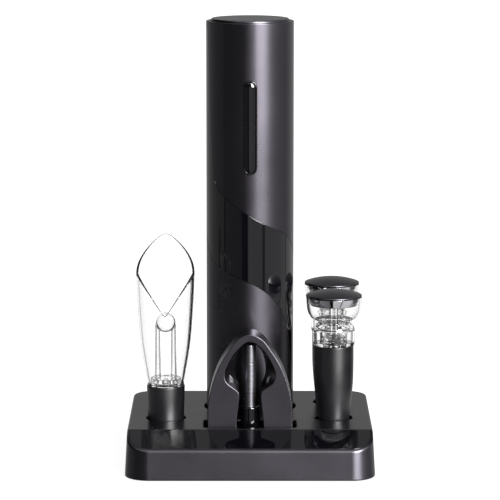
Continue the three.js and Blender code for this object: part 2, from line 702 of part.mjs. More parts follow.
function makeControlBoard() {
  const half = board.width / 2;
  const length = board.length / 2;
  const front = -board.inFront - board.thickness;
  return block(-half, half, front, -board.inFront, switchZ - length, switchZ + length);
}

function makeOpener() {
  const group = placed(0, opener.y, opener.bottom);
  const turning = new THREE.Group(); // the worm's own axis, turned by the gearbox
  group.add(turning);
  add(group, "outer_sleeve", makeOuterSleeve(), satinBlack);
  add(group, "gloss_band", bandPlate(opener.radius - band.depth, opener.radius, 0), glossBlack);
  add(group, "top_cap", makeTopCap(), satinBlack);
  add(group, "switch_surround", makeSwitchSurround(), glossBlack);
  add(group, "rocker_switch", makeRocker(), glossBlack);
  add(group, "rocker_pin", rockerAxle(switchPart.pinRadius, switchPart.width - GAP), steel);
  add(group, "control_board", makeControlBoard(), greenBoard);
  add(group, "raise_key_switch", makeKeySwitch(1), matteBlack);
  add(group, "lower_key_switch", makeKeySwitch(-1), matteBlack);
  add(group, "battery_cell", makeCell(), cellWrap);
  add(group, "charging_port", portShape(0, opener.radius - port.inset), steel);
  add(group, "chassis_front", makeChassisHalf(-1), matteBlack);
  add(group, "chassis_rear", makeChassisHalf(1), matteBlack);
  add(group, "motor", makeMotor(), steel);
  addGearbox(group, turning);
  add(group, "bottle_collar", makeBottleCollar(), matteBlack);
  add(group, "cork_guide", makeCorkGuide(), clear);
  add(turning, "worm_chuck", makeChuck(), matteBlack);
  add(turning, "corkscrew", makeCorkscrew(), steel);
  return group;
}

// ---- Foil cutter ----
// Half an outline, from the bottom up to the crown, made smooth and mirrored into a whole arch.
function archPoints(half, divisions) {
  const right = new THREE.SplineCurve(half.map(([x, z]) => new THREE.Vector2(x, z))).getPoints(divisions);
  const left = right.slice(0, -1).reverse().map((point) => new THREE.Vector2(-point.x, point.y));
  return [...right, ...left];
}

// A plate from a front outline at -y to a back outline with as many points, both in [x, z].
function taperedPlate(front, back, thickness) {
  const count = front.length;
  const positions = [];
  for (const [points, y] of [[front, -thickness / 2], [back, thickness / 2]]) {
    for (const point of points) positions.push(point.x, y, point.y);
  }
  const indices = [];
  for (const [a, b, c] of THREE.ShapeUtils.triangulateShape(front, [])) indices.push(a, b, c);
  for (const [a, b, c] of THREE.ShapeUtils.triangulateShape(back, [])) {
    indices.push(count + a, count + c, count + b);
  }
  for (let at = 0; at < count; at++) {
    const next = (at + 1) % count;
    indices.push(at, count + at, next, next, count + at, count + next);
  }
  const geometry = new THREE.BufferGeometry();
  geometry.setAttribute("position", new THREE.Float32BufferAttribute(positions, 3));
  geometry.setIndex(indices);
  return geometry;
}

// A bar along Y on the axis of the left (-1) or right (1) cutting wheel.
function wheelBar(radius, length, side, sides = SMALL) {
  return crossBar(radius, length, "y", side * cutter.wheelX, 0, cutter.wheelZ, sides);
}

function makeCutterBody() {
  const outside = archPoints(cutterOutside, 20);
  const outline = (inside) => [...outside, ...archPoints(inside, 24).reverse()];
  const body = taperedPlate(outline(cutterInside), outline(cutterInsideBack), cutter.thickness);
  const slotWidth = cutter.wheelThickness + 2 * GAP;
  const slots = [-1, 1].flatMap((side) => [
    wheelBar(cutter.wheelRadius + cutter.wheelPlay, slotWidth, side),
    wheelBar(clearOf(cutter.pinRadius), cutter.pinLength + 2 * GAP, side),
  ]);
  return cut(body, ...slots);
}

function makeFoilCutter() {
  const group = placed(0, cutter.y, cutter.bottom);
  add(group, "cutter_body", makeCutterBody(), satinBlack);
  for (const [name, side] of [["left", -1], ["right", 1]]) {
    const blank = wheelBar(cutter.wheelRadius, cutter.wheelThickness, side, ROUND);
    const bore = wheelBar(clearOf(cutter.pinRadius), cutter.wheelThickness + PAST, side);
    add(group, `cutting_wheel_${name}`, cut(blank, bore), steel);
    add(group, `wheel_pin_${name}`, wheelBar(cutter.pinRadius, cutter.pinLength, side), steel);
  }
  return group;
}

// ---- Aerating pourer ----
function profileInside(profile, wall) {
  return profile.map(([radius, z]) => [radius - wall, z]).reverse();
}

function makePourerGlass() {
  const bottom = pourerGlass[0][1];
  const neckBottom = bottom - pourer.neckInside;
  const bore = pourer.neckRadius - pourer.wall;
  const inside = profileInside(pourerGlass.slice(1), pourer.wall);
  const floorZ = bottom + pourer.wall;
  const shell = lathe([
    [bore, neckBottom], [pourer.neckRadius, neckBottom], [pourer.neckRadius, bottom], ...pourerGlass,
    ...inside, [pourerGlass[0][0] - pourer.wall, floorZ], [bore, floorZ],
  ]);
  const reach = 2 * pourerGlass.at(-1)[0];
  return cut(shell, aboveMouth(mouthFront, -reach, 0), aboveMouth(mouthBack, 0, reach));
}

// Everything higher than an edge given for one side in [x, z], from y0 to y1.
function aboveMouth(edge, y0, y1) {
  const high = mouthBack[0][1] + PAST;
  const far = edge.at(-1)[0] + PAST;
  const side = [...edge, [far, edge.at(-1)[1]], [far, high]];
  const mirrored = side.slice(1).reverse().map(([x, z]) => [-x, z]);
  const shape = new THREE.Shape([...mirrored, ...side].map(([x, z]) => new THREE.Vector2(x, z)));
  const bar = new THREE.ExtrudeGeometry(shape, { depth: y1 - y0, bevelEnabled: false });
  return bar.rotateX(Math.PI / 2).translate(0, y1, 0);
}

const discBottom = pourerGlass[0][1] + pourer.wall + GAP;

function makeAeratorDisc() {
  const radius = pourerGlass[0][0] - pourer.wall - GAP;
  const plate = disc(radius, discBottom, discBottom + pourer.discThickness);
  const holes = Array.from({ length: pourer.discHoles }, (_, index) =>
    disc(pourer.discHoleRadius, discBottom - PAST, discBottom + PAST, SMALL)
      .translate(0, pourer.discHoleOrbit, 0).rotateZ((index * 2 * Math.PI) / pourer.discHoles));
  return cut(plate, ...holes);
}

// Two thin air tubes that meet in a small bulb.
function makeAirTubes() {
  const bottom = discBottom + pourer.discThickness + GAP;
  const tubes = [-1, 1].map((side) =>
    disc(pourer.tubeRadius, bottom, pourer.bulbZ, SMALL).translate(side * pourer.tubeX, 0, 0));
  const bulb = new THREE.SphereGeometry(pourer.bulbRadius, SMALL, SMALL / 2).rotateX(Math.PI / 2);
  return join(bulb.translate(0, 0, pourer.bulbZ), ...tubes);
}

function makePourer() {
  const group = placed(pourerX, pourer.y, pourer.bottom);
  const top = pourerSleeve.at(-1)[1];
  const sleeve = lathe([[pourer.boreRadius, 0], ...pourerSleeve, [pourer.boreRadius, top]]);
  add(group, "pourer_sleeve", sleeve, siliconeBlack);
  add(group, "pourer_glass", makePourerGlass(), clear);
  add(group, "aerator_disc", makeAeratorDisc(), clear);
  add(group, "air_tubes", makeAirTubes(), clear);
  return group;
}

// ---- Vacuum stoppers ----
const bowlTop = stopperBowl.at(-1)[1];
const bowlInnerRadius = stopperBowl.at(-1)[0] - stopper.bowlWall;
const barrelFloor = stopper.plugTop + GAP + stopper.bodyFloor;

// A clear body: a cylinder with the pump's barrel standing inside it, a waist, and an open bowl on top.
function makeStopperBody() {
  const wallInside = stopperBody[0][0] - stopper.bodyWall;
  const barrelOutside = stopper.barrelRadius + stopper.barrelWall;
  const [, [, shoulder], , , [, waist]] = stopperBody;
  return lathe([
    [stopper.airway, stopperBody[0][1]], ...stopperBody, ...stopperBowl,
    ...profileInside(stopperBowl.slice(1), stopper.bowlWall),
    [stopper.barrelRadius, waist + stopper.bodyWall], [stopper.barrelRadius, waist - stopper.bodyWall],
    [wallInside, shoulder - stopper.bodyWall / 2], [wallInside, barrelFloor],
    [barrelOutside, barrelFloor], [barrelOutside, stopper.barrelTop],
    [stopper.barrelRadius, stopper.barrelTop], [stopper.barrelRadius, barrelFloor],
    [stopper.airway, barrelFloor],
  ]);
}

function makeStopper(row, y) {
  const group = placed(stopperX, y, stopper.bottom);
  const plug = lathe([[stopper.airway, 0], ...stopperPlug, [stopper.airway, stopper.plugTop]]);
  const headBottom = barrelFloor + stopper.headLift;
  const headTop = headBottom + stopper.headLength;
  const headRadius = stopper.barrelRadius - GAP;
  const ringBottom = bowlTop - stopper.ringHeight;
  const ringRadius = bowlInnerRadius - GAP;
  const ringInner = ringRadius - stopper.ringTaper - stopper.ringWall;
  const lipBottom = bowlTop + GAP;
  const capBottom = lipBottom - stopper.capPlug;
  const capTop = lipBottom + stopper.capDome;
  const piston = lathe([
    [0, headBottom], [headRadius, headBottom], [headRadius, headTop], [stopper.rodRadius, headTop],
    [stopper.rodRadius, capBottom - GAP], [0, capBottom - GAP],
  ], SMALL);
  const ring = lathe([
    [ringInner, ringBottom], [ringRadius - stopper.ringTaper, ringBottom], [ringRadius, bowlTop],
    [ringInner, bowlTop],
  ]);
  const cap = lathe([
    [0, capBottom], [ringInner - GAP, capBottom], [ringInner - GAP, lipBottom],
    [stopper.capRadius, lipBottom], [stopper.capRadius, lipBottom + stopper.capLip],
    [stopper.domeRadius, capTop - stopper.domeFall], [0, capTop],
  ]);
  add(group, `${row}_stopper_plug`, plug, siliconeBlack);
  add(group, `${row}_stopper_body`, makeStopperBody(), clear);
  add(group, `${row}_stopper_piston`, piston, whitePlastic);
  add(group, `${row}_stopper_ring`, ring, chrome);
  add(group, `${row}_stopper_cap`, cap, satinBlack);
  return group;
}

const wineOpenerSet = new THREE.Group();
wineOpenerSet.add(makeBase(), makeOpener(), makeFoilCutter(), makePourer());
for (const [row, y] of Object.entries(stopper.rows)) wineOpenerSet.add(makeStopper(row, y));

export default wineOpenerSet;
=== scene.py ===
"""An electric wine opener in its storage base, with a foil cutter, a pourer and two vacuum stoppers.

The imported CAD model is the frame. Every shape below is in millimetres in the frame's own axes (+Z up, the
front is -Y), and becomes metres when its piece is made.
"""
import json
import math

import bmesh
import bpy
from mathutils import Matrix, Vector


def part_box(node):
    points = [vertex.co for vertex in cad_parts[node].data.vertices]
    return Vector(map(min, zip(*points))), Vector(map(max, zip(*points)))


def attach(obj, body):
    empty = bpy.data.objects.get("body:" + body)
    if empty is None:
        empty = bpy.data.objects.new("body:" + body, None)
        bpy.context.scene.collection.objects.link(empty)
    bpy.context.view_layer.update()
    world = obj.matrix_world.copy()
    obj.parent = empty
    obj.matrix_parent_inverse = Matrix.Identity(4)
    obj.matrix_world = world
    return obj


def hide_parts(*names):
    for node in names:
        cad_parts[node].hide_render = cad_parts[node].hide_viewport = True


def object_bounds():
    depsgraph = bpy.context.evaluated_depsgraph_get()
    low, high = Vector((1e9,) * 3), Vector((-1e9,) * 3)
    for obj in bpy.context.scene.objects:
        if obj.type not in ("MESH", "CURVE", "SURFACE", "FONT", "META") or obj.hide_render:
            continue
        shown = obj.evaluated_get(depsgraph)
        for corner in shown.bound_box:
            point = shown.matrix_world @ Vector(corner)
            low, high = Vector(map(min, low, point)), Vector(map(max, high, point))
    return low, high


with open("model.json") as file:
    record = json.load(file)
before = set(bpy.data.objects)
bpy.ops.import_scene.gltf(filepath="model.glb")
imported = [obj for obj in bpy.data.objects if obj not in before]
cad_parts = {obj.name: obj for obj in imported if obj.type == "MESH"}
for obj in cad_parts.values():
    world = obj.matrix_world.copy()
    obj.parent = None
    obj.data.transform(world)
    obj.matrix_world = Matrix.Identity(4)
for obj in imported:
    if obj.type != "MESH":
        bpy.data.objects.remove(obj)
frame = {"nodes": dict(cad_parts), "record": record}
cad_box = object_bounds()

MM = 0.001
SIDES = 96  # sides of a round piece
FINE = 192  # sides of the opener's casing
FILLET_STEPS = 6
SHARP = math.radians(22)  # edges that turn by more than this stay sharp
SEAT_PLAY = 0.05  # play under a piece that rests in a seat
SEAM = 0.12  # gap left round a piece that is let in flush
TOOL_REACH = 8  # how far cutting tools reach past what they cut
NOISE_LOW, NOISE_HIGH = 0.3, 0.7  # noise lies mostly between these

scene = bpy.context.scene


def box(node):
    """Lowest and highest corner of a CAD node, in millimetres."""
    low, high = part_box(node)
    return low / MM, high / MM


def centre_of(node):
    """Middle of a CAD node seen from above, in millimetres."""
    low, high = box(node)
    return (low.x + high.x) / 2, (low.y + high.y) / 2


def upright(node):
    """Radius of an upright round CAD node, and the heights of its foot and its top, in millimetres."""
    low, high = box(node)
    return (high.x - low.x) / 2, low.z, high.z


# ---- Outlines and profiles ----
def turns(count, start=0.0, end=2 * math.pi):
    """That many angles from start, spread evenly and without the end one."""
    return [start + (end - start) * index / count for index in range(count)]


def rounded(points, radius=0.5, steps=4):
    """A path with its inner corners turned into curves; a point's third value is its own radius."""
    path = [points[0][:2]]
    for before, corner, after in zip(points, points[1:], points[2:]):
        own = corner[2] if len(corner) > 2 else radius
        here = Vector(corner[:2])
        back, ahead = Vector(before[:2]) - here, Vector(after[:2]) - here
        reach = min(own, 0.45 * back.length, 0.45 * ahead.length)
        if reach < 1e-4:
            path.append(tuple(here))
            continue
        start, end = here + back.normalized() * reach, here + ahead.normalized() * reach
        for step in range(steps + 1):
            t = step / steps
            path.append(tuple(start * (1 - t) ** 2 + here * 2 * t * (1 - t) + end * t ** 2))
    path.append(points[-1][:2])
    return path


def spline(points, per_span=6):
    """A smooth path through every point."""
    ends = [points[0], *points, points[-1]]
    path = []
    for a, b, c, d in zip(ends, ends[1:], ends[2:], ends[3:]):
        for step in range(per_span):
            t = step / per_span
            path.append(tuple(
                0.5 * (2 * q + (r - p) * t + (2 * p - 5 * q + 4 * r - s) * t ** 2
                       + (3 * q - p - 3 * r + s) * t ** 3)
                for p, q, r, s in zip(a, b, c, d)
            ))
    path.append(tuple(points[-1]))
    return path


def fillet(radius, steps=FILLET_STEPS):
    """(inset, drop) pairs round a rounded edge, from its side face to its top face."""
    angles = [math.pi / 2 * step / steps for step in range(steps + 1)]
    return [(radius * (1 - math.cos(angle)), radius * (1 - math.sin(angle))) for angle in angles]


def rounded_rectangle(half_width, half_depth, corner, steps=14, centre=(0, 0), extra_y=None):
    """Points of a rounded rectangle, anticlockwise; extra_y adds a point at that y on both long sides."""
    points = []
    for quarter, (sx, sy) in enumerate([(1, -1), (1, 1), (-1, 1), (-1, -1)]):
        start = -math.pi / 2 + quarter * math.pi / 2
        for step in range(steps + 1):
            angle = start + math.pi / 2 * step / steps
            points.append((
                centre[0] + sx * (half_width - corner) + corner * math.cos(angle),
                centre[1] + sy * (half_depth - corner) + corner * math.sin(angle),
            ))
        if extra_y is not None and quarter in (0, 2):
            points.append((centre[0] + sx * half_width, extra_y))
    return points


def oblong(width, length, steps=10):
    """Points of an upright oblong with round ends, as (x, z) about its middle."""
    radius = width / 2
    straight = length / 2 - radius
    points = [(radius * math.cos(a), straight + radius * math.sin(a)) for a in turns(steps, 0, math.pi)]
    points.append((-radius, straight))
    points += [(radius * math.cos(a), -straight + radius * math.sin(a)) for a in turns(steps, math.pi)]
    points.append((radius, -straight))
    return points


def inset(outline, amount):
    """A closed outline moved inwards; the outline runs anticlockwise."""
    moved = []
    count = len(outline)
    for index, point in enumerate(outline):
        here = Vector(point)
        back = (here - Vector(outline[index - 1])).normalized()
        ahead = (Vector(outline[(index + 1) % count]) - here).normalized()
        normal = Vector((-back.y - ahead.y, back.x + ahead.x)).normalized()
        lean = max(0.5, normal.dot(Vector((-back.y, back.x))))
        moved.append(tuple(here + normal * (amount / lean)))
    return moved


# ---- Meshes ----
def new_object(points, faces):
    mesh = bpy.data.meshes.new("shape")
    mesh.from_pydata([tuple(Vector(point) * MM) for point in points], [], faces)
    work = bmesh.new()
    work.from_mesh(mesh)
    bmesh.ops.remove_doubles(work, verts=work.verts, dist=1e-7)
    bmesh.ops.recalc_face_normals(work, faces=work.faces)
    work.to_mesh(mesh)
    work.free()
    obj = bpy.data.objects.new("shape", mesh)
    scene.collection.objects.link(obj)
    return obj


def skin(rings, loop=False, end_faces=None):
    """A surface through rings of as many points each, with faces over both ends or joined in a loop."""
    count = len(rings[0])
    faces = []
    pairs = len(rings) if loop else len(rings) - 1
    for ring in range(pairs):
        low, high = ring * count, ((ring + 1) % len(rings)) * count
        for index in range(count):
            after = (index + 1) % count
            faces.append((low + index, low + after, high + after, high + index))
    if not loop:
        last = (len(rings) - 1) * count
        for face in end_faces or [range(count)]:
            faces.append(tuple(reversed(face)))
            faces.append(tuple(last + index for index in face))
    return new_object([point for ring in rings for point in ring], faces)


def lathe(profile, centre=(0, 0), sides=SIDES):
    """A profile of (radius, z) turned about a vertical axis: it ends on the axis or closes on itself."""
    points, rings = [], []
    for radius, z in profile:
        if radius < 1e-6:
            rings.append([len(points)] * sides)
            points.append((*centre, z))
            continue
        rings.append(list(range(len(points), len(points) + sides)))
        for turn in turns(sides):
            points.append((centre[0] + radius * math.cos(turn), centre[1] + radius * math.sin(turn), z))
    pairs = list(zip(rings, rings[1:]))
    if profile[0][0] > 1e-6:
        pairs.append((rings[-1], rings[0]))
    faces = []
    for low, high in pairs:
        for index in range(sides):
            after = (index + 1) % sides
            face = dict.fromkeys([low[index], low[after], high[after], high[index]])
            if len(face) > 2:
                faces.append(tuple(face))
    return new_object(points, faces)


def rod(radius, low, high, centre):
    """A plain upright cylinder, used only as a cutting tool."""
    return lathe([(0, low), (radius, low), (radius, high), (0, high)], centre)


def block(low, high):
    """A plain box, used as a tool."""
    (x0, y0, z0), (x1, y1, z1) = low, high
    return skin([[(x0, y0, z), (x1, y0, z), (x1, y1, z), (x0, y1, z)] for z in (z0, z1)])


def applied(obj):
    """obj with its modifiers made part of its mesh."""
    graph = bpy.context.evaluated_depsgraph_get()
    shaped = bpy.data.meshes.new_from_object(obj.evaluated_get(graph))
    obj.modifiers.clear()
    obj.data = shaped
    return obj


def boolean(obj, tools, operation="DIFFERENCE"):
    """obj after joining or cutting it with other closed meshes, which are used up."""
    for tool in tools:
        step = obj.modifiers.new(operation, "BOOLEAN")
        step.operation = operation
        step.object = tool
        step.solver = "MANIFOLD"
    applied(obj)
    for tool in tools:
        bpy.data.objects.remove(tool)
    return obj


def bevelled(obj, width, segments=3):
    """obj with its sharp edges rounded."""
    bevel = obj.modifiers.new("bevel", "BEVEL")
    bevel.width = width * MM
    bevel.segments = segments
    bevel.limit_method = "ANGLE"
    bevel.angle_limit = math.radians(30)
    return applied(obj)


# ---- Materials ----
class Shader:
    """A material with a Principled shader, and nodes that vary its colour, roughness and surface."""

    def __init__(self, name, colour, roughness, metallic=0.0, **sockets):
        self.material = bpy.data.materials.new(name)
        self.material.use_nodes = True
        self.nodes = self.material.node_tree.nodes
        self.links = self.material.node_tree.links
        self.shader = self.nodes["Principled BSDF"]
        self.colour, self.roughness = colour, roughness
        self.shader.inputs["Base Color"].default_value = (*colour, 1)
        self.shader.inputs["Roughness"].default_value = roughness
        self.shader.inputs["Metallic"].default_value = metallic
        for socket, value in sockets.items():
            self.shader.inputs[socket.replace("_", " ")].default_value = value
        self.place = self.nodes.new("ShaderNodeTexCoord").outputs["Object"]

    def noise(self, scale, detail=3.0, stretch=(1, 1, 1)):
        """Noise over the object's own coordinates, with `scale` grains to the metre."""
        mapping = self.nodes.new("ShaderNodeMapping")
        mapping.inputs["Scale"].default_value = stretch
        self.links.new(self.place, mapping.inputs["Vector"])
        texture = self.nodes.new("ShaderNodeTexNoise")
        texture.inputs["Scale"].default_value = scale
        texture.inputs["Detail"].default_value = detail
        self.links.new(mapping.outputs["Vector"], texture.inputs["Vector"])
        return texture.outputs["Fac"]

    def spread(self, value, low, high):
        """Noise stretched to run from low to high."""
        ranged = self.nodes.new("ShaderNodeMapRange")
        ranged.inputs["From Min"].default_value = NOISE_LOW
        ranged.inputs["From Max"].default_value = NOISE_HIGH
        ranged.inputs["To Min"].default_value = low
        ranged.inputs["To Max"].default_value = high
        self.links.new(value, ranged.inputs["Value"])
        return ranged.outputs["Result"]

    def vary_colour(self, value, share):
        """The colour becomes up to `share` darker and lighter with value."""
        mix = self.nodes.new("ShaderNodeMix")
        mix.data_type = "RGBA"
        self.links.new(self.spread(value, 0, 1), mix.inputs["Factor"])
        dark, light = [(*(channel * (1 + sign * share) for channel in self.colour), 1) for sign in (-1, 1)]
        mix.inputs[6].default_value = dark
        mix.inputs[7].default_value = light
        self.links.new(mix.outputs[2], self.shader.inputs["Base Color"])
        return self

    def vary_roughness(self, value, amount):
        """The roughness becomes up to `amount` lower and higher with value."""
        result = self.spread(value, self.roughness - amount, self.roughness + amount)
        self.links.new(result, self.shader.inputs["Roughness"])
        return self

    def relief(self, value, depth):
        """Surface relief from value, `depth` in millimetres."""
        bump = self.nodes.new("ShaderNodeBump")
        bump.inputs["Strength"].default_value = 1.0
        bump.inputs["Distance"].default_value = depth * MM
        self.links.new(value, bump.inputs["Height"])
        self.links.new(bump.outputs["Normal"], self.shader.inputs["Normal"])
        return self


def satin_black():
    """Painted metal and plastic with a fine metallic grain."""
    paint = Shader("satin_black", (0.05, 0.0468, 0.0545), 0.28, metallic=1.0)
    clouds = paint.noise(45)
    grain = paint.noise(5200, detail=1.0)
    paint.vary_colour(clouds, 0.05)
    paint.vary_roughness(clouds, 0.012)
    return paint.relief(grain, 0.0022).material


def gloss_black():
    """Deep piano-black plastic with a trace of moulding ripple."""
    plastic = Shader("gloss_black", (0.0009, 0.0008, 0.0012), 0.03, IOR=1.5)
    ripple = plastic.noise(70, detail=1.0)
    plastic.vary_colour(ripple, 0.1)
    plastic.vary_roughness(plastic.noise(900), 0.008)
    return plastic.relief(ripple, 0.0012).material


def matte_black():
    plastic = Shader("matte_black", (0.004, 0.0038, 0.0045), 0.5)
    spark = plastic.noise(2600, detail=2.0)
    plastic.vary_colour(plastic.noise(60), 0.12)
    plastic.vary_roughness(spark, 0.05)
    return plastic.relief(spark, 0.02).material


def silicone():
    rubber = Shader("silicone", (0.002, 0.0018, 0.0023), 0.34, IOR=1.5)
    haze = rubber.noise(110)
    rubber.vary_colour(haze, 0.15)
    rubber.vary_roughness(haze, 0.03)
    return rubber.relief(rubber.noise(3200, detail=2.0), 0.004).material


def clear_plastic():
    """Clear moulded acrylic with a very slight waviness."""
    clear = Shader("clear_plastic", (1.0, 1.0, 1.0), 0.0, IOR=1.49, Transmission_Weight=1.0)
    clear.vary_colour(clear.noise(25), 0.004)
    return clear.relief(clear.noise(60, detail=1.0), 0.02).material


def chrome():
    plating = Shader("chrome", (0.72, 0.72, 0.75), 0.07, metallic=1.0)
    plating.vary_roughness(plating.noise(300), 0.02)
    return plating.relief(plating.noise(120, detail=1.0), 0.003).material


def steel():
    """Turned steel: fine rings about the vertical axis."""
    metal = Shader("steel", (0.12, 0.116, 0.128), 0.36, metallic=1.0)
    rings = metal.noise(900, detail=2.0, stretch=(0.05, 0.05, 3))
    metal.vary_colour(metal.noise(40), 0.06)
    metal.vary_roughness(rings, 0.05)
    return metal.relief(rings, 0.002).material


def brass():
    metal = Shader("brass", (0.55, 0.36, 0.12), 0.3, metallic=1.0)
    rings = metal.noise(700, detail=2.0, stretch=(0.1, 0.1, 3))
    metal.vary_colour(metal.noise(60), 0.08)
    return metal.vary_roughness(rings, 0.06).material


def white_plastic():
    plastic = Shader("white_plastic", (0.68, 0.67, 0.64), 0.4)
    plastic.vary_colour(plastic.noise(80), 0.04)
    return plastic.relief(plastic.noise(2400), 0.004).material


def board_green():
    board = Shader("board_green", (0.012, 0.105, 0.04), 0.35)
    weave = board.noise(1500, detail=1.0, stretch=(1, 1, 4))
    board.vary_colour(weave, 0.2)
    return board.relief(weave, 0.01).material


def cell_wrap():
    wrap = Shader("cell_wrap", (0.03, 0.12, 0.36), 0.3)
    wrap.vary_colour(wrap.noise(50), 0.08)
    return wrap.relief(wrap.noise(220, detail=1.0), 0.01).material


MATERIALS = {make.__name__: make() for make in (
    satin_black, gloss_black, matte_black, silicone, clear_plastic, chrome, steel, brass, white_plastic,
    board_green, cell_wrap,
)}
MATERIALS["base_black"] = satin_black()
SLOT_OF = {part["node"]: part["material_slot"] for part in frame["record"]["subparts"]}
BODY_OF = {
    node: body for body, nodes in frame["record"]["behaviour"]["bodies"].items() for node in nodes
}


def replace_node(obj, node, slot=None):
    """obj stands for a CAD node: it takes the node's name and body, and its slot unless one is given."""
    slot = slot or SLOT_OF[node]
    obj.name = f"{node}.fine"
    mesh = obj.data
    mesh.shade_smooth()
    mesh.set_sharp_from_angle(angle=SHARP)
    mesh.materials.clear()
    mesh.materials.append(MATERIALS[slot])
    weigh = obj.modifiers.new("normals", "WEIGHTED_NORMAL")
    weigh.keep_sharp = True
    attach(obj, BODY_OF[node])
    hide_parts(node)


def dress_cad_nodes():
    """Every CAD node gets the material of its slot; the hidden inner ones are shown with it."""
    for node, obj in frame["nodes"].items():
        obj.data.materials.clear()
        obj.data.materials.append(MATERIALS[SLOT_OF[node]])


# ---- Storage base ----
FEET = [f"foot_{place}" for place in ("front_left", "front_right", "rear_left", "rear_right")]
SCREWS = [f"base_screw_{index}" for index in range(1, 5)]
SCREW_SHANK, SCREW_HEAD = 1.4, 0.7  # radius of the shank, height of the head
FOOT_PLAY = 0.2  # round a foot in its seat
DRAFT = 1.1  # how far the sides lean in between the foot and the top
BASE_CORNER = 13.0
BASE_EDGE, BASE_FOOT_EDGE = 1.3, 0.8  # rounding of the upper and the lower edge
SLOPE = math.radians(24.3)
PANEL_THICKNESS = 1.5
PANEL_LIP = 1.5  # satin lip left round the gloss panel
PANEL_BACK_GAP = 0.25  # between the panel and the edge where the slope starts
WALL = 2.4
ROOF = 2.6
SOCKET_WALL = 2.0
RIM = 0.6  # rounding round a socket's mouth
base_low, base_high = box("base_shell")
slope_start = box("front_panel")[1].y - PANEL_THICKNESS * math.sin(SLOPE)


def top_height(y):
    """Height of the base's top over y: flat, then down the slope to the front."""
    return base_high.z - max(0.0, slope_start - y) * math.tan(SLOPE)


def base_outline(move_in):
    width, depth = base_high.x - move_in, (base_high.y - base_low.y) / 2 - move_in
    return rounded_rectangle(width, depth, BASE_CORNER - move_in, extra_y=slope_start)


def base_block():
    """The base's outer form as a closed mesh: leaning sides, rounded edges and a sloped front."""
    rings = []
    for move_in, drop in reversed(fillet(BASE_FOOT_EDGE)):
        rings.append([(x, y, base_low.z + drop) for x, y in base_outline(move_in)])
    for move_in, drop in fillet(BASE_EDGE):
        rings.append([(x, y, top_height(y) - drop) for x, y in base_outline(DRAFT + move_in)])
    # The faces over both ends are split in two where the slope starts.
    right, left = [index for index, point in enumerate(rings[-1]) if abs(point[1] - slope_start) < 1e-6]
    rear, front = range(right, left + 1), [*range(left, len(rings[0])), *range(right + 1)]
    return skin(rings, end_faces=[rear, front])


def panel_outline(grow):
    """The gloss panel seen from above: the base's front, inside its satin lip."""
    keep = [p for p in base_outline(DRAFT + PANEL_LIP - grow) if p[1] <= slope_start + 1e-6]
    back = slope_start - PANEL_BACK_GAP + grow
    behind = back + 60  # far enough back for the points to follow one another in angle
    ordered = sorted((p for p in keep if p[1] < back), key=lambda p: math.atan2(p[1] - behind, p[0]))
    edge = max(p[0] for p in keep)
    return [*ordered, (edge, back), (-edge, back)]


def mouth_levels(floor):
    """(growth, z) of a socket's cutting tool, from the floor up past the rounded rim of the mouth."""
    rim = [(out, base_high.z - drop) for out, drop in fillet(RIM)]
    return [(0.0, floor), *rim, (RIM, base_high.z + TOOL_REACH)]


def panel_ring(grow, depth):
    return [(x, y, top_height(y) + depth) for x, y in panel_outline(grow)]


def socket_tool(radius, centre, floor):
    """Cuts a round socket."""
    wall = [(radius + grow, z) for grow, z in mouth_levels(floor)]
    return lathe([(0, floor), *wall, (0, wall[-1][1])], centre)


def slot_tool(half_width, half_depth, floor):
    """Cuts the foil cutter's slot."""
    rings = []
    for grow, z in mouth_levels(floor):
        width, depth, corner = half_width + grow, half_depth + grow, SLOT_CORNER + grow
        rings.append([(x, y, z) for x, y in rounded_rectangle(width, depth, corner, 6, (0, cutter_y))])
    return skin(rings)


opener_centre = centre_of("outer_sleeve")
pourer_centre = centre_of("pourer_sleeve")
stopper_centres = {row: centre_of(f"{row}_stopper_plug") for row in ("front", "rear")}
cutter_low, cutter_high = box("cutter_body")
cutter_y = (cutter_low.y + cutter_high.y) / 2
GAP = 0.3  # between pieces that fit into each other
SLOT_CLEARANCE = 0.8  # in front of the foil cutter and behind it
SLOT_HALF_WIDTH, SLOT_CORNER, SLOT_FLOOR = 24.8, 1.6, 4.4  # the last is the thickness under the slot
WELL_PLAY = 1.4  # between the opener's tube and its well
POURER_SOCKET, STOPPER_SOCKET = 10.85, 10.3  # radii


def sockets():
    """(radius, centre, floor) of each round socket in the base."""
    found = [
        (TUBE_RADIUS + WELL_PLAY, opener_centre, tube_foot - GAP),
        (POURER_SOCKET, pourer_centre, upright("pourer_sleeve")[1] - GAP),
    ]
    for row, centre in stopper_centres.items():
        found.append((STOPPER_SOCKET, centre, upright(f"{row}_stopper_plug")[1] - GAP))
    return found


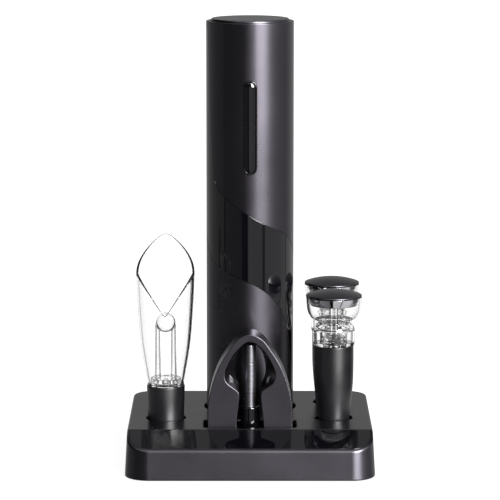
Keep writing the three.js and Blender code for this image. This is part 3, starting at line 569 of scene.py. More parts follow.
def make_base_shell():
    """The base's body: hollow from below round a cup for each socket, with a seat for the gloss panel."""
    slot_depth = (cutter_high.y - cutter_low.y) / 2 + SLOT_CLEARANCE
    slot_floor = cutter_low.z - GAP
    under_slope = PANEL_THICKNESS + GAP + WALL
    mouth, roof = base_outline(WALL), base_outline(WALL + DRAFT)
    plate_top, top = box("bottom_plate")[1].z + GAP, base_high.z + TOOL_REACH
    cavity = skin([
        [(x, y, base_low.z - TOOL_REACH) for x, y in mouth],
        [(x, y, plate_top) for x, y in mouth],
        [(x, y, min(base_high.z - ROOF, top_height(y) - under_slope)) for x, y in roof],
    ])
    cups = []
    for radius, centre, floor in sockets():
        cups.append(rod(radius + SOCKET_WALL, floor - SOCKET_WALL, top, centre))
    x, y = SLOT_HALF_WIDTH + SOCKET_WALL, slot_depth + SOCKET_WALL
    cups.append(block((-x, cutter_y - y, slot_floor - SLOT_FLOOR), (x, cutter_y + y, top)))
    tools = [boolean(cavity, cups)]
    tools += [socket_tool(*socket) for socket in sockets()]
    tools.append(slot_tool(SLOT_HALF_WIDTH, slot_depth, slot_floor))
    radius, foot, _ = upright("post_pedestal")
    tools.append(rod(radius + GAP, foot - SEAT_PLAY, top, (0, cutter_y)))
    tools.append(skin([panel_ring(SEAM, -PANEL_THICKNESS - SEAM), panel_ring(SEAM, TOOL_REACH)]))
    replace_node(boolean(base_block(), tools), "base_shell")


def make_front_panel():
    """The gloss panel let in to the slope, a trace above its lip."""
    edge, raised = 0.25, 0.03
    rings = [panel_ring(0, -PANEL_THICKNESS)]
    rings += [panel_ring(-move_in, raised - drop) for move_in, drop in fillet(edge, 4)]
    replace_node(skin(rings), "front_panel")


def make_bottom_plate():
    """The plate under the base, with seats for the feet and the screw heads."""
    low, high = box("bottom_plate")
    half_width, half_depth, corner, edge = high.x, (high.y - low.y) / 2, 10, 0.5
    levels = [(move_in, low.z + drop) for move_in, drop in reversed(fillet(edge, 3))]
    rings = []
    for move_in, z in [*levels, (0, high.z)]:
        outline = rounded_rectangle(half_width - move_in, half_depth - move_in, corner, 10)
        rings.append([(x, y, z) for x, y in outline])
    under, above = low.z - TOOL_REACH, high.z + TOOL_REACH
    tools = []
    for node in FEET:
        radius, _, top = upright(node)
        tools.append(rod(radius + FOOT_PLAY, under, top + SEAT_PLAY, centre_of(node)))
    bore, seat = SCREW_SHANK + GAP, low.z + SCREW_HEAD + GAP
    for node in SCREWS:
        head = upright(node)[0] + GAP
        hole = [(0, under), (head, under), (head, seat), (bore, seat), (bore, above), (0, above)]
        tools.append(lathe(hole, centre_of(node), 48))
    replace_node(boolean(skin(rings), tools), "bottom_plate")


def make_feet():
    """Rubber feet with a rounded rim and a shallow hollow in the sole."""
    for node in FEET:
        radius, low, high = upright(node)
        hollow = low + 0.25
        profile = rounded([
            (0, hollow), (radius * 0.55, hollow), (radius * 0.62, low), (radius, low), (radius, high),
            (0, high),
        ], 0.35)
        replace_node(lathe(profile, centre_of(node), 64), node)


def make_screws():
    """Pan-head screws with a cross-shaped drive recess."""
    arm, wide, deep = 1.6, 0.35, 0.45  # the recess's half length, half width and depth
    for node in SCREWS:
        head, low, high = upright(node)
        x, y = centre_of(node)
        step = low + SCREW_HEAD
        profile = rounded([
            (0, low), (head, low, 0.3), (head, step), (SCREW_SHANK, step), (SCREW_SHANK, high), (0, high),
        ], 0.15)
        arms = [
            block((x - along, y - across, low - 1), (x + along, y + across, low + deep))
            for along, across in ((arm, wide), (wide, arm))
        ]
        replace_node(boolean(lathe(profile, (x, y), 48), arms), node)


POST_RISE = 1.2  # how much nearer to the arch's crown the finer post reaches


def make_cutter_post():
    """The steel post under the foil cutter's arch, and the gloss pedestal that it stands in."""
    post, low, high = upright("cutter_post")
    groove, nick, top = low + 26.2, 0.4, high + POST_RISE
    profile = rounded([
        (0, low), (post, low), (post, groove - nick, 0.1), (post - nick, groove, 0.2),
        (post, groove + nick, 0.1), (post, top, 1.2), (0, top),
    ], 0.3, 6)
    replace_node(lathe(profile, (0, cutter_y)), "cutter_post")
    foot, low, high = upright("post_pedestal")
    neck, step, bore, floor = 5.2, cutter_low.z - GAP, post + 0.15, high - 2.6
    profile = rounded([
        (0, low), (foot, low), (foot, step), (neck, step), (neck, high, 0.8), (bore, high, 0.2),
        (bore, floor), (0, floor),
    ], 0.25, 5)
    replace_node(lathe(profile, (0, cutter_y)), "post_pedestal")


# ---- Opener ----
TUBE_RADIUS, tube_foot, tube_top = upright("outer_sleeve")
TUBE_WALL = 2.2
BAND_DEPTH = 0.8
BAND_START, BAND_END = -150.0, 155.0  # angles from the front, in degrees
# The gloss band's lower and upper edges, as (angle from the front in degrees, height up the tube).
BAND_LOWER = [
    (-150, 220.4), (-120, 162), (-95, 124), (-75, 103), (-51, 91.8), (-13, 85), (8, 80.9), (29, 74.6),
    (43, 67.9), (51, 61.9), (58, 55.1), (68, 38), (79, 8), (155, 8),
]
BAND_UPPER = [
    (-150, 221), (-74, 221), (-68, 205), (-62, 171), (-57, 149), (-52, 137), (-35, 129.5), (0, 119.4),
    (19, 114.9), (48, 109.3), (64, 104.8), (85, 93), (110, 66), (155, 8.6),
]


def smooth_height(edge, angle):
    """Height of a smooth line through an edge's points, with no overshoot between them."""
    index = max(0, min(len(edge) - 2, sum(at <= angle for at, _ in edge) - 1))
    rises = [(b[1] - a[1]) / (b[0] - a[0]) for a, b in zip(edge, edge[1:])]

    def slope_at(point):
        if point in (0, len(edge) - 1):
            return rises[min(point, len(rises) - 1)]
        before, after = rises[point - 1], rises[point]
        return 0.0 if before * after <= 0 else 2 * before * after / (before + after)

    (x0, y0), (x1, y1) = edge[index], edge[index + 1]
    span = x1 - x0
    t = max(0.0, min(1.0, (angle - x0) / span))
    from_start, from_end = (1 + 2 * t) * (1 - t) ** 2, t * t * (3 - 2 * t)
    bend_start, bend_end = t * (1 - t) ** 2 * span, -t * t * (1 - t) * span
    return y0 * from_start + y1 * from_end + slope_at(index) * bend_start + slope_at(index + 1) * bend_end


def on_tube(radius, degrees, z):
    turn, (x, y) = math.radians(degrees), opener_centre
    return x + radius * math.sin(turn), y - radius * math.cos(turn), tube_foot + z


def band_plate(layers, steps=244):
    """A curved plate whose outline follows the band's edges; layers are (radius, grow) from inside out."""
    least = 0.02  # half of the height that is left where the edges meet
    lengthen = 2.4  # degrees by which both ends move out for each millimetre of growth
    points = []
    for radius, grow in layers:
        start, end = BAND_START - grow * lengthen, BAND_END + grow * lengthen
        beside = math.degrees(grow / TUBE_RADIUS)
        sign = 1 if grow >= 0 else -1
        for step in range(steps + 1):
            angle = start + (end - start) * (step / steps)
            near = (angle - beside, angle, angle + beside)
            low = sign * min(sign * smooth_height(BAND_LOWER, at) for at in near) - grow
            high = sign * max(sign * smooth_height(BAND_UPPER, at) for at in near) + grow
            middle = (low + high) / 2
            points.append(on_tube(radius, angle, min(low, middle - least)))
            points.append(on_tube(radius, angle, max(high, middle + least)))

    def at(layer, step, side):
        return (layer * (steps + 1) + step) * 2 + side

    last = len(layers) - 1
    faces = []
    for step in range(steps):
        for layer in (0, last):
            faces.append([at(layer, step + along, side) for along, side in ((0, 0), (1, 0), (1, 1), (0, 1))])
        for layer in range(last):
            for side in (0, 1):
                corners = ((0, 0), (0, 1), (1, 1), (1, 0))
                faces.append([at(layer + out, step + along, side) for out, along in corners])
    for step in (0, steps):
        for layer in range(last):
            faces.append([at(layer + out, step, side) for out, side in ((0, 0), (0, 1), (1, 1), (1, 0))])
    return new_object(points, faces)


def wrapped(points, y, centre_z, hug=1.0):
    """(x, z) points stood up at y and bent round the tube."""
    tube_front = opener_centre[1] - TUBE_RADIUS
    ring = []
    for x, z in points:
        drop = TUBE_RADIUS - math.sqrt(TUBE_RADIUS ** 2 - x ** 2)
        ring.append((x, tube_front + y + hug * drop, centre_z + z))
    return ring


surround_low, surround_high = box("switch_surround")
SWITCH_Z = (surround_low.z + surround_high.z) / 2
SWITCH_WIDTH = surround_high.x - surround_low.x
SWITCH_LENGTH = surround_high.z - surround_low.z
SWITCH_BACK = 3.5


def oblong_rings(levels, hug=1.0):
    """Rings of an upright oblong: each level is how far it is inset and its y in front of the tube's face."""
    return [
        wrapped(oblong(SWITCH_WIDTH - 2 * move_in, SWITCH_LENGTH - 2 * move_in), y, SWITCH_Z, hug)
        for move_in, y in levels
    ]


def make_outer_sleeve():
    """The opener's tube, with a seat for the gloss band and openings for the switch and the port."""
    inner = TUBE_RADIUS - TUBE_WALL
    foot = [(TUBE_RADIUS - move_in, tube_foot + drop) for move_in, drop in reversed(fillet(0.6, 5))]
    edge = [(TUBE_RADIUS - move_in, tube_top - drop) for move_in, drop in fillet(0.45, 5)]
    sleeve = lathe([(inner, tube_foot), *foot, *edge, (inner, tube_top)], opener_centre, FINE)
    depth = BAND_DEPTH + SEAM
    seat = band_plate([(TUBE_RADIUS - depth, SEAM), (TUBE_RADIUS + 3, SEAM)])
    slot = skin(oblong_rings([(-SEAM, -TOOL_REACH), (-SEAM, TOOL_REACH)], hug=0))
    low, high = box("charging_port")
    port = skin([
        [(x, y, (low.z + high.z) / 2 + z) for x, z in rounded_rectangle(4.65, 1.8, 1.6, 6)]
        for y in (low.y, high.y + TOOL_REACH)
    ])
    replace_node(boolean(sleeve, [seat, slot, port]), "outer_sleeve")


def make_gloss_band():
    edge = [(0.16, 0.0), (0.05, -0.04), (0.0, -0.16)]  # its rounding, as (depth, growth)
    layers = [(TUBE_RADIUS - depth, grow) for depth, grow in [(BAND_DEPTH, 0.0), *edge]]
    replace_node(band_plate(layers), "gloss_band")


def make_top_cap():
    radius, low, high = upright("top_cap")
    profile = rounded([
        (0, low), (radius, low), (radius, high - 0.9, 0.3), (radius - 0.5, high, 0.35),
        (radius - 3, high - 0.05, 3), (0, high - 0.35),
    ], 0.3, 6)
    replace_node(lathe(profile, opener_centre, FINE), "top_cap")


def pin_bore():
    """Cuts the way through which the rocker's pin passes."""
    low, high = box("rocker_pin")
    y, z, radius = (low.y + high.y) / 2, (low.z + high.z) / 2, (high.z - low.z) / 2 + GAP
    return skin([
        [(x, y + radius * math.cos(a), z + radius * math.sin(a)) for a in turns(32)]
        for x in (-SWITCH_WIDTH, SWITCH_WIDTH)
    ])


def make_switch():
    """The oblong surround, and the crowned rocker in it."""
    rim, front = 0.75, -0.25  # the surround's width, and how far it stands in front of the tube
    levels = [(0.0, SWITCH_BACK), (0.0, -0.05)]
    levels += [(move_in, front + drop) for move_in, drop in fillet(0.3, 4)]
    levels += [(rim - move_in, front + drop) for move_in, drop in reversed(fillet(0.25, 4))]
    levels += [(rim, SWITCH_BACK)]
    surround = skin(oblong_rings(levels), loop=True)
    replace_node(boolean(surround, [pin_bore()]), "switch_surround")
    edge, edge_y, crown, steps = rim + 0.25, 0.1, 0.779, 12
    reach = (SWITCH_WIDTH / 2 - edge) * 0.96
    levels = [(edge, SWITCH_BACK), (edge, edge_y)]
    for step in range(1, steps):
        angle = math.pi / 2 * step / steps
        levels.append((edge + reach * (1 - math.cos(angle)), edge_y - crown * math.sin(angle)))
    rocker = skin(oblong_rings(levels))
    replace_node(boolean(rocker, [pin_bore()]), "rocker_switch")


def make_charging_port():
    """A small metal-lined socket with a tongue inside."""
    low, high = box("charging_port")
    middle = (low.z + high.z) / 2
    half_width, half_height = (high.x - low.x) / 2, (high.z - low.z) / 2

    def ring(y, move_in):
        outline = rounded_rectangle(half_width - move_in, half_height - move_in, 1.5 - move_in * 0.8, 6)
        return [(x, y, middle + z) for x, z in outline]

    levels = [(low.y, 0.0), (high.y - 0.1, 0.0), (high.y, 0.1), (high.y - 0.1, 0.35), (high.y - 5, 0.35)]
    tongue = block((-3.2, low.y, middle - 0.35), (3.2, high.y - 1, middle + 0.35))
    replace_node(boolean(skin([ring(*level) for level in levels]), [tongue], "UNION"), "charging_port")


def make_bottle_collar():
    """The ring that a bottle's neck goes into, with a funnel at its mouth."""
    radius, low, high = upright("bottle_collar")
    bore, mouth, funnel = 14.6, 17.0, low + 5.0
    profile = rounded([
        (bore, funnel), (bore, high), (radius, high), (radius, low), (mouth, low, 0.6), (bore, funnel),
    ], 0.4)
    replace_node(lathe(profile[:-1], opener_centre), "bottle_collar")


def make_cork_guide():
    """A tube that leads the cork, and four fins that hold it in the casing."""
    _, low, high = upright("cork_guide")
    inner, wall, fin = 13.2, 2.0, 0.75
    outer, middle, reach = inner + wall, (low + high) / 2, TUBE_RADIUS - TUBE_WALL - GAP
    guide = lathe(rounded([
        (outer, middle), (outer, high), (inner, high), (inner, low), (outer, low), (outer, middle),
    ], 0.4)[:-1], opener_centre)
    start = inner + wall / 2
    fins = []
    for turn in turns(4, math.pi / 4, 9 * math.pi / 4):
        along, across = Vector((math.cos(turn), math.sin(turn))), Vector((-math.sin(turn), math.cos(turn)))
        corners = [
            Vector(opener_centre) + along * out + across * side
            for out, side in ((start, -fin), (reach, -fin), (reach, fin), (start, fin))
        ]
        fins.append(skin([[(*corner, z) for corner in corners] for z in (low + 2, high - 2)]))
    replace_node(boolean(guide, fins, "UNION"), "cork_guide")


def make_worm():
    """The corkscrew: a round wire wound in a helix, drawn to a point, closing to a straight shank."""
    _, low, top = upright("corkscrew")
    helix_radius, wire, pitch, straight, point_length = 3.2, 1.5, 9.0, 7.5, 6.0
    tip = low + wire * 0.5
    steps, around, nearby = 300, 16, 0.05

    def centre_line(z):
        closing = max(0.0, min(1.0, (z - (top - straight - pitch)) / pitch))
        closing = closing * closing * (3 - 2 * closing)
        radius = helix_radius * (1 - closing)
        turn, (x, y) = 2 * math.pi * (z - tip) / pitch, opener_centre
        return Vector((x + radius * math.cos(turn), y + radius * math.sin(turn), z))

    rings = []
    for step in range(steps + 1):
        z = tip + (top - tip) * step / steps
        here = centre_line(z)
        tangent = (centre_line(z + nearby) - centre_line(z - nearby)).normalized()
        side = tangent.cross(Vector((0, 0, 1)))
        side = side.normalized() if side.length > 0.05 else Vector((1, 0, 0))
        up = side.cross(tangent)
        radius = wire * min(1.0, 0.12 + (z - tip) / point_length)
        rings.append([tuple(here + (side * math.cos(a) + up * math.sin(a)) * radius) for a in turns(around)])
    replace_node(skin(rings), "corkscrew")


def make_chuck():
    """Holds the worm from below and the carrier's stub from above."""
    radius, low, high = upright("worm_chuck")
    worm, worm_end, stub, stub_end = 1.8, low + 6.8, 3.8, high - 4.5
    profile = rounded([
        (0, stub_end), (stub, stub_end), (stub, high), (radius, high, 0.8), (radius, low + 2.5, 0.6),
        (radius - 1.6, low, 0.5), (worm, low), (worm, worm_end), (0, worm_end),
    ], 0.2)
    replace_node(lathe(profile, opener_centre), "worm_chuck")


# ---- Foil cutter ----
# Half outlines of the arch, bottom to crown, as (x, height above the cutter's foot).
ARCH_OUTSIDE = [(22.9, 0), (22.8, 6.7), (22.1, 21), (17.3, 37.4), (9, 50.8), (4.2, 55), (0, 56.1)]
ARCH_FRONT = [
    (7.3, 0), (7.1, 9.5), (6.2, 17), (5.9, 24.2), (8.6, 26.9), (12.6, 30.2), (13.5, 35.2), (11.2, 41.2),
    (6.6, 48.2), (0, 52.4),
]
ARCH_BACK = [
    (7.3, 0), (7.1, 9.5), (6.2, 17), (5.9, 24.2), (6, 26), (7.4, 29), (8.4, 34), (7.4, 40.6), (4.8, 45.8),
    (0, 49.4),
]
ARCH_EDGE = 0.4
PIN_PLAY, WHEEL_PLAY = 0.15, 0.4  # round the pins and the wheels in the arch


def whole_arch(half, count=128):
    """A smooth arch through a half outline and its mirror image, as count + 1 evenly spaced points."""
    path = spline(half + [(-x, z) for x, z in reversed(half[:-1])], 8)
    lengths = [0.0]
    for start, end in zip(path, path[1:]):
        lengths.append(lengths[-1] + math.dist(start, end))
    points, span = [], 0
    for step in range(count + 1):
        along = lengths[-1] * step / count
        while span < len(path) - 2 and lengths[span + 1] < along:
            span += 1
        share = (along - lengths[span]) / (lengths[span + 1] - lengths[span])
        points.append(tuple(a + (b - a) * share for a, b in zip(path[span], path[span + 1])))
    return points


def make_cutter_body():
    """The arch: one outline in front and another behind, with slots for the wheels and seats for the pins."""
    outside = whole_arch(ARCH_OUTSIDE)
    front = [*outside, *reversed(whole_arch(ARCH_FRONT))]
    back = [*outside, *reversed(whole_arch(ARCH_BACK))]
    depth = cutter_high.y - cutter_low.y

    def ring(move_in, y):
        share = (y - cutter_low.y) / depth
        outline = [
            (f[0] + (b[0] - f[0]) * share, f[1] + (b[1] - f[1]) * share) for f, b in zip(front, back)
        ]
        return [(x, y, cutter_low.z + z) for x, z in inset(outline, move_in)]

    edge = fillet(ARCH_EDGE, 5)
    rings = [ring(move_in, cutter_low.y + drop) for move_in, drop in reversed(edge)]
    rings += [ring(0, cutter_low.y + depth * share) for share in (0.25, 0.5, 0.75)]
    rings += [ring(move_in, cutter_high.y - drop) for move_in, drop in edge]
    count = len(front)
    strips = [(index, index + 1, count - 2 - index, count - 1 - index) for index in range(count // 2 - 1)]
    tools = []
    for side in ("left", "right"):
        tools.append(disc_along_y(f"cutting_wheel_{side}", WHEEL_PLAY, GAP))
        tools.append(disc_along_y(f"wheel_pin_{side}", PIN_PLAY, PIN_PLAY))
    replace_node(boolean(skin(rings, end_faces=strips), tools), "cutter_body")


def disc_along_y(node, grow=0.0, thicken=0.0, edge=0.0, sides=64):
    """A round disc that stands across Y in a node's box; edge is the width of its sharpened rim."""
    low, high = box(node)
    x, z = (low.x + high.x) / 2, (low.z + high.z) / 2
    radius = (high.x - low.x) / 2 + grow
    y0, y1 = low.y - thicken, high.y + thicken
    levels = [(y0, radius - edge), (y1, radius - edge)]
    if edge:
        levels.insert(1, ((y0 + y1) / 2, radius))
    return skin([[(x + r * math.cos(t), y, z + r * math.sin(t)) for t in turns(sides)] for y, r in levels])


def make_cutter_wheels():
    """Steel wheels with a sharpened rim, and the pins that they turn on."""
    for side in ("left", "right"):
        wheel, pin = f"cutting_wheel_{side}", f"wheel_pin_{side}"
        replace_node(boolean(disc_along_y(wheel, edge=0.5), [disc_along_y(pin, 0.1, 2)]), wheel)
        replace_node(bevelled(disc_along_y(pin, sides=32), 0.2), pin)


# ---- Aerating pourer ----
POURER_WALL = 1.3
# The glass from its collar up to the lip, as (radius, height above the pourer's foot).
POURER_GLASS = [
    (9.9, 31.4), (10.2, 34), (11.15, 39.3), (13.7, 55.9), (15.3, 77.9), (15.85, 92.8), (15.5, 104),
    (14.6, 114.1),
]
# Heights of the lip at its lowest point, at its widest and at its highest.
MOUTH_FRONT, MOUTH_SIDE, MOUTH_BACK = 70.8, 92.8, 111.6
MOUTH_DIP, MOUTH_TIP = 0.04, math.radians(14)  # how far the V and the back tip are blunted


def glass_radius(z):
    path = spline(POURER_GLASS, 12)
    for (r0, z0), (r1, z1) in zip(path, path[1:]):
        if z <= z1:
            return r0 + (r1 - r0) * (z - z0) / (z1 - z0)
    return path[-1][0]


def mouth_height(turn):
    """Height of the lip over an angle from the front: a V in front and a leaf's tip behind, both blunted."""
    across = abs(math.sin(turn))
    if math.cos(turn) > 0:
        past = math.hypot(across, MOUTH_DIP) - MOUTH_DIP
        return MOUTH_FRONT + (MOUTH_SIDE - MOUTH_FRONT) * (past / (math.hypot(1, MOUTH_DIP) - MOUTH_DIP))
    past = math.hypot(math.asin(min(1.0, across)), MOUTH_TIP) - MOUTH_TIP
    return MOUTH_BACK - (MOUTH_BACK - MOUTH_SIDE) * (past / (math.hypot(math.pi / 2, MOUTH_TIP) - MOUTH_TIP))


def make_pourer_glass():
    """The clear body: a neck down to the disc, and a flared bowl with a lip of changing height."""
    foot = box("pourer_sleeve")[0].z
    low = box("pourer_glass")[0].z - foot
    neck, shoulder, half = 6.2, 0.3, POURER_WALL / 2
    bore, start = neck - POURER_WALL, POURER_GLASS[0][1]
    floor = start + POURER_WALL
    steps, around = 46, 180
    lip = turns(8, 0, math.pi)[1:]
    columns = []
    for turn in turns(around):
        top = mouth_height(turn)
        rise = [start + (top - start) * step / steps for step in range(steps + 1)]
        rim = glass_radius(top) - half
        column = [(bore, low), (neck, low), (neck, start - shoulder), (neck + shoulder, start)]
        column += [(glass_radius(z), z) for z in rise]
        column += [(rim + half * math.cos(a), top + half * math.sin(a)) for a in lip]
        column += [(glass_radius(z) - POURER_WALL, max(z, floor)) for z in reversed(rise)]
        columns.append([
            (pourer_centre[0] + r * math.sin(turn), pourer_centre[1] - r * math.cos(turn), foot + z)
            for r, z in [*column, (bore, floor)]
        ])
    replace_node(skin(columns, loop=True), "pourer_glass")


def make_pourer_sleeve():
    """The black silicone sleeve that seals in a bottle's neck."""
    foot, bore = box("pourer_sleeve")[0].z, 6.6
    sides = spline([(9.4, 0), (9.8, 12.6), (10.35, 31.1)])
    bottom, top = sides[0], sides[-1]
    profile = [(bore, bottom[1]), (*bottom, 1.0), *sides[1:-1], (*top, 0.45), (bore, top[1])]
    path = [(r, foot + z) for r, z in rounded(profile, 0.2, 5)]
    replace_node(lathe(path, pourer_centre), "pourer_sleeve")


def make_aerator():
    """The disc at the pourer's foot, with a ring of six countersunk holes."""
    radius, low, high = upright("aerator_disc")
    profile = rounded([(0, low), (radius, low), (radius, high), (0, high)], 0.4, 4)
    under, above, circle, hole, sink = low - 1, high + 1, 4.6, 1.25, 1.6
    cut = [(0, under), (hole, under), (hole, high - 0.3), (sink, high + 0.1), (sink, above), (0, above)]
    tools = []
    for turn in turns(6, math.pi / 2, math.pi * 5 / 2):
        place = (pourer_centre[0] + circle * math.cos(turn), pourer_centre[1] + circle * math.sin(turn))
        tools.append(lathe(cut, place, 32))
    replace_node(boolean(lathe(profile, pourer_centre), tools), "aerator_disc")


def make_air_tubes():
    """Two tapered tubes that end in a hollow ball."""
    _, low, high = upright("air_tubes")
    ball, wall, apart, knee = 5.6, 0.8, 4.3, low + 14
    middle = high - ball
    outside = [(0, low), (1.75, low), (1.6, low + 3), (1.35, knee), (1.25, middle), (0, middle)]
    inside = [(0, low - 1), (1.0, low - 1), (0.65, knee), (0.6, middle), (0, middle)]
    shapes = []
    for radius, profile in ((ball, outside), (ball - wall, inside)):
        pair = [lathe(profile, (pourer_centre[0] + side * apart, pourer_centre[1]), 40) for side in (-1, 1)]
        shapes.append(boolean(sphere(radius, middle), pair, "UNION"))
    replace_node(boolean(shapes[0], shapes[1:]), "air_tubes")


def sphere(radius, z, steps=32):
    """A ball on the pourer's axis."""
    side = [(radius * math.cos(a), z + radius * math.sin(a)) for a in turns(steps, -math.pi / 2, math.pi / 2)]
    return lathe([(0.0, z - radius), *side[1:], (0.0, z + radius)], pourer_centre, 64)


# ---- Vacuum stoppers ----
# Outlines as (radius, height above the stopper's foot).
STOPPER_PLUG = [(8, 0), (8.7, 12.6), (10.6, 33.2), (10.8, 53.3)]
STOPPER_BODY = [(11.35, 53.6), (11.35, 62.4), (10.9, 63.8), (8.9, 65.2), (8.4, 65.9)]
STOPPER_BOWL = [(8.6, 66.5), (11.5, 67.9), (13.2, 69.6), (14.65, 73.2), (15.2, 79.9)]
BOWL_WALL = 1.2
BODY_WALL = 1.6
BARREL_RADIUS, BARREL_WALL, BARREL_TOP = 6.6, 1.0, 61.6  # inner radius, wall, height above the foot
AIRWAY = 2.5  # radius of the way through the plug and the body


def make_stopper(row):
    """One stopper: plug, clear body and bowl, piston, ring under the cap, and cap."""
    centre = stopper_centres[row]
    foot = upright(f"{row}_stopper_plug")[1]

    def measured(node):
        radius, low, high = upright(f"{row}_{node}")
        return radius, low - foot, high - foot

    def turned(node, profile, sides=SIDES, slot=None):
        path = [(r, foot + z) for r, z in profile]
        replace_node(lathe(path, centre, sides), f"{row}_{node}", slot)

    plug = spline(STOPPER_PLUG, 8)
    plug_top = plug[-1][1]
    turned("stopper_plug", rounded([
        (AIRWAY, 0), (plug[0][0], 0, 1.8), *plug[2:-1], (*plug[-1], 0.4), (AIRWAY, plug_top),
    ], 0.2, 6))

    (body_radius, body_low), (shoulder_radius, shoulder) = STOPPER_BODY[:2]
    waist_radius, waist = STOPPER_BODY[-1]
    floor, barrel = body_low + 1.3, BARREL_RADIUS + BARREL_WALL
    bowl = spline(STOPPER_BOWL, 8)
    bowl_radius, bowl_top = bowl[-1]
    inside = [(r - BOWL_WALL, z) for r, z in spline(STOPPER_BOWL[1:], 8)]
    turned("stopper_body", rounded([
        (AIRWAY, body_low), (body_radius, body_low, 0.3), (shoulder_radius, shoulder, 1.2),
        *STOPPER_BODY[2:-1], (waist_radius, waist, 0.5), *bowl[1:-1], (bowl_radius, bowl_top, 0.35),
        (bowl_radius - BOWL_WALL, bowl_top, 0.35), *reversed(inside[:-1]),
        (BARREL_RADIUS, waist + BODY_WALL, 0.5), (BARREL_RADIUS, waist - BODY_WALL, 0.3),
        (body_radius - BODY_WALL, shoulder - BODY_WALL / 2, 0.8), (body_radius - BODY_WALL, floor, 0.4),
        (barrel, floor, 0.3), (barrel, BARREL_TOP, 0.3), (BARREL_RADIUS, BARREL_TOP, 0.3),
        (BARREL_RADIUS, floor, 0.3), (AIRWAY, floor),
    ], 0.4, 4))

    _, low, high = measured("stopper_piston")
    head, rod_radius, head_top = BARREL_RADIUS - GAP, 2.2, low + 3.5
    turned("stopper_piston", rounded([
        (0, low), (head - 0.4, low), (head, low + 0.5), (head, low + 1.1), (head - 0.5, low + 1.4),
        (head - 0.5, low + 2.2), (head, low + 2.5), (head, low + 3.1), (head - 0.4, head_top),
        (rod_radius, head_top, 0.8), (rod_radius, high), (0, high),
    ], 0.2), 64, "clear_plastic")

    radius, low, high = measured("stopper_ring")
    inner = radius - 3
    turned("stopper_ring", rounded([
        (inner, low + 0.5), (radius - 2.4, low, 0.3), (radius - 1.2, low, 0.6), (radius - 0.3, low + 2.4, 2),
        (radius, high, 0.25), (inner, high), (inner, low + 0.5),
    ], 0.2, 5)[:-1])

    radius, low, high = measured("stopper_cap")
    spigot, under, steps = inner - GAP, bowl_top + GAP - 0.15, 15
    brim, dome_low = radius - 0.35, under + 1.0
    dome = []
    for step in range(steps):
        share = step / steps
        dome.append((brim * (1 - share), dome_low + (high - dome_low) * (1 - (1 - share) ** 2.2)))
    turned("stopper_cap", rounded([
        (0, low), (spigot, low, 0.4), (spigot, under), (radius - 0.5, under, 0.3),
        (radius, under + 0.4, 0.25), *dome, (0, high),
    ], 0.3, 4))


# ---- Camera, floor and light ----
CAMERA_LENS, CAMERA_SENSOR = 208.8, 36.0
CAMERA_PLACE, CAMERA_AIM = (0, -1.5603, 0.3626), (0, 0.020, 0.1123)  # in metres


def make_camera():
    data = bpy.data.cameras.new("camera")
    data.lens, data.sensor_width = CAMERA_LENS, CAMERA_SENSOR
    camera = bpy.data.objects.new("camera", data)
    scene.collection.objects.link(camera)
    camera.location = CAMERA_PLACE
    aim = Vector(CAMERA_AIM) - camera.location
    camera.rotation_euler = aim.to_track_quat("-Z", "Y").to_euler()
    scene.camera = camera


def card(name, corners, material):
    """A flat sheet with four corners, in metres."""
    mesh = bpy.data.meshes.new(name)
    mesh.from_pydata(corners, [], [(0, 1, 2, 3)])
    mesh.materials.append(material)
    sheet = bpy.data.objects.new(name, mesh)
    scene.collection.objects.link(sheet)
    return sheet


def make_floor():
    """A plain white floor, lit and glowing enough to run into the white backdrop."""
    paper = bpy.data.materials.new("paper")
    paper.use_nodes = True
    nodes, links = paper.node_tree.nodes, paper.node_tree.links
    nodes.remove(nodes["Principled BSDF"])
    diffuse = nodes.new("ShaderNodeBsdfDiffuse")
    diffuse.inputs["Color"].default_value = (0.12, 0.12, 0.12, 1)
    glow = nodes.new("ShaderNodeEmission")
    glow.inputs["Color"].default_value = (1, 1, 1, 1)
    glow.inputs["Strength"].default_value = 0.93
    both = nodes.new("ShaderNodeAddShader")
    links.new(diffuse.outputs[0], both.inputs[0])
    links.new(glow.outputs[0], both.inputs[1])
    # Seen from below, the floor is clear, so that the underside can be looked at.
    side = nodes.new("ShaderNodeNewGeometry")
    clear = nodes.new("ShaderNodeBsdfTransparent")
    mix = nodes.new("ShaderNodeMixShader")
    links.new(side.outputs["Backfacing"], mix.inputs["Fac"])
    links.new(both.outputs[0], mix.inputs[1])
    links.new(clear.outputs[0], mix.inputs[2])
    links.new(mix.outputs[0], nodes["Material Output"].inputs["Surface"])
    paper.cycles.emission_sampling = "NONE"
    size = 9.0
    floor = card("floor", [(-size, -size, 0), (size, -size, 0), (size, size, 0), (-size, size, 0)], paper)
    floor.visible_glossy = floor.visible_transmission = floor.visible_shadow = False


def make_flag():
    """A black card to the right of the stoppers, out of the camera's sight."""
    y0, y1, z0, z1 = -0.055, 0.008, 0.03, 0.07
    x = cad_box[1].x + 0.018
    black = Shader("flag", (0, 0, 0), 1.0, IOR=1.0).material
    flag = card("flag", [(x, y0, z0), (x, y1, z0), (x, y1, z1), (x, y0, z1)], black)
    flag.visible_camera = flag.visible_diffuse = flag.visible_shadow = flag.visible_transmission = False


STUDIO_PEAK = 48.0  # brightness of the main light
# What polished and satin faces reflect, as (degrees from the front towards +X, brightness).
STUDIO_ABOVE = [
    (-180, 0.33), (-152, 0.4), (-142, 0.03), (13, 0.02), (18, STUDIO_PEAK), (40, STUDIO_PEAK), (50, 3.0),
    (90, 0.9), (130, 0.5), (180, 0.33),
]
STUDIO_BELOW = [
    (-180, 0.5), (-90, 0.3), (-73, 0.3), (-72, 0.06), (-69, 0.06), (-68, 0.2), (-22, 0.14), (-20, 0.0),
    (-6, 0.0), (-4, 0.65), (32, 0.6), (34, 0.15), (39, 0.15), (41, 0.7), (107, 0.65), (108, 0.12),
    (110, 0.12), (111, 0.7), (180, 0.5),
]


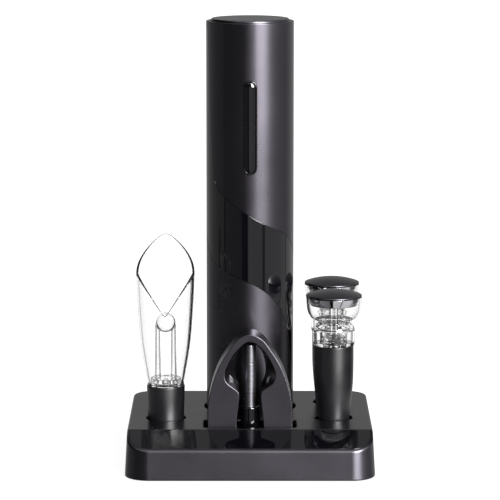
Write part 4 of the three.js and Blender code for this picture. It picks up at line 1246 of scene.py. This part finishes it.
class Sky:
    """Nodes of the world, which is the whole studio seen from the object."""

    def __init__(self):
        world = bpy.data.worlds.new("studio")
        scene.world = world
        world.use_nodes = True
        self.nodes, self.links = world.node_tree.nodes, world.node_tree.links
        self.background = self.nodes["Background"]

    def node(self, kind, **settings):
        made = self.nodes.new(kind)
        for name, value in settings.items():
            setattr(made, name, value)
        return made

    def put(self, value, socket):
        if isinstance(value, (int, float)):
            socket.default_value = value
        else:
            self.links.new(value, socket)

    def math(self, operation, first, second=0.0, third=0.0):
        made = self.node("ShaderNodeMath", operation=operation)
        for value, socket in zip((first, second, third), made.inputs):
            self.put(value, socket)
        return made.outputs[0]

    def steps(self, value, low, high):
        """0 below low, 1 above high, and smooth between."""
        ranged = self.node("ShaderNodeMapRange", interpolation_type="SMOOTHSTEP")
        for number, socket in zip((low, high, 0.0, 1.0), list(ranged.inputs)[1:5]):
            socket.default_value = number
        self.put(value, ranged.inputs["Value"])
        return ranged.outputs["Result"]

    def ramp(self, value, stops, peak):
        made = self.node("ShaderNodeValToRGB")
        elements = made.color_ramp.elements
        while len(elements) > 1:
            elements.remove(elements[-1])
        for index, (degrees, brightness) in enumerate(stops):
            element = elements[0] if index == 0 else elements.new(0.5 + degrees / 360)
            element.position = 0.5 + degrees / 360
            shade = brightness / peak
            element.color = (shade, shade, shade, 1)
        self.put(value, made.inputs["Fac"])
        return self.math("MULTIPLY", made.outputs["Color"], peak)

    def mix(self, share, first, second):
        """first where share is 0 and second where it is 1."""
        return self.math("ADD", self.math("MULTIPLY", first, self.math("SUBTRACT", 1.0, share)),
                         self.math("MULTIPLY", second, share))


def make_studio():
    sky = Sky()
    direction = sky.node("ShaderNodeTexCoord").outputs["Generated"]
    split = sky.node("ShaderNodeSeparateXYZ")
    sky.links.new(direction, split.inputs[0])
    x, y, z = split.outputs
    azimuth = sky.math("ARCTAN2", x, sky.math("MULTIPLY", y, -1.0))
    around = sky.math("ADD", sky.math("DIVIDE", azimuth, 2 * math.pi), 0.5)
    height = sky.math("DEGREES", sky.math("ARCSINE", z))
    above = sky.ramp(around, STUDIO_ABOVE, STUDIO_PEAK)
    below = sky.ramp(around, STUDIO_BELOW, 1.0)
    ceiling = 0.42
    walls = sky.mix(sky.steps(height, -1.5, 1.5), below, above)
    studio = sky.mix(sky.steps(height, 38, 55), walls, ceiling)
    box_low, box_high = sky.steps(height, 42, 50), sky.steps(height, 78, 70)
    ahead = sky.steps(sky.math("MULTIPLY", y, -1.0), 0.15, 0.3)
    overhead = sky.math("MULTIPLY", sky.math("MULTIPLY", box_low, box_high), ahead)
    studio = sky.math("MULTIPLY_ADD", overhead, 2.0, studio)
    # Behind the glass the backdrop is white, and dim to either side of it and above it.
    backdrop = sky.mix(sky.steps(height, 12, 40), 1.25, 0.15)
    front = sky.mix(sky.steps(y, -0.1, 0.2), sky.math("MINIMUM", studio, 3.0), 0.03)
    behind = sky.mix(sky.steps(y, 0.62, 0.93), front, backdrop)
    path = sky.node("ShaderNodeLightPath")
    seen = sky.mix(path.outputs["Is Transmission Ray"], studio, behind)
    seen = sky.mix(path.outputs["Is Camera Ray"], seen, 1.0)
    sky.links.new(seen, sky.background.inputs["Strength"])
    sky.background.inputs["Color"].default_value = (1, 1, 1, 1)


scene.view_settings.view_transform = "Standard"
make_camera()
make_floor()
make_flag()
make_studio()
dress_cad_nodes()
make_base_shell()
make_front_panel()
make_bottom_plate()
make_feet()
make_screws()
make_cutter_post()
make_outer_sleeve()
make_gloss_band()
make_top_cap()
make_switch()
make_charging_port()
make_bottle_collar()
make_cork_guide()
make_worm()
make_chuck()
make_cutter_body()
make_cutter_wheels()
make_pourer_sleeve()
make_pourer_glass()
make_aerator()
make_air_tubes()
for stopper_row in stopper_centres:
    make_stopper(stopper_row)
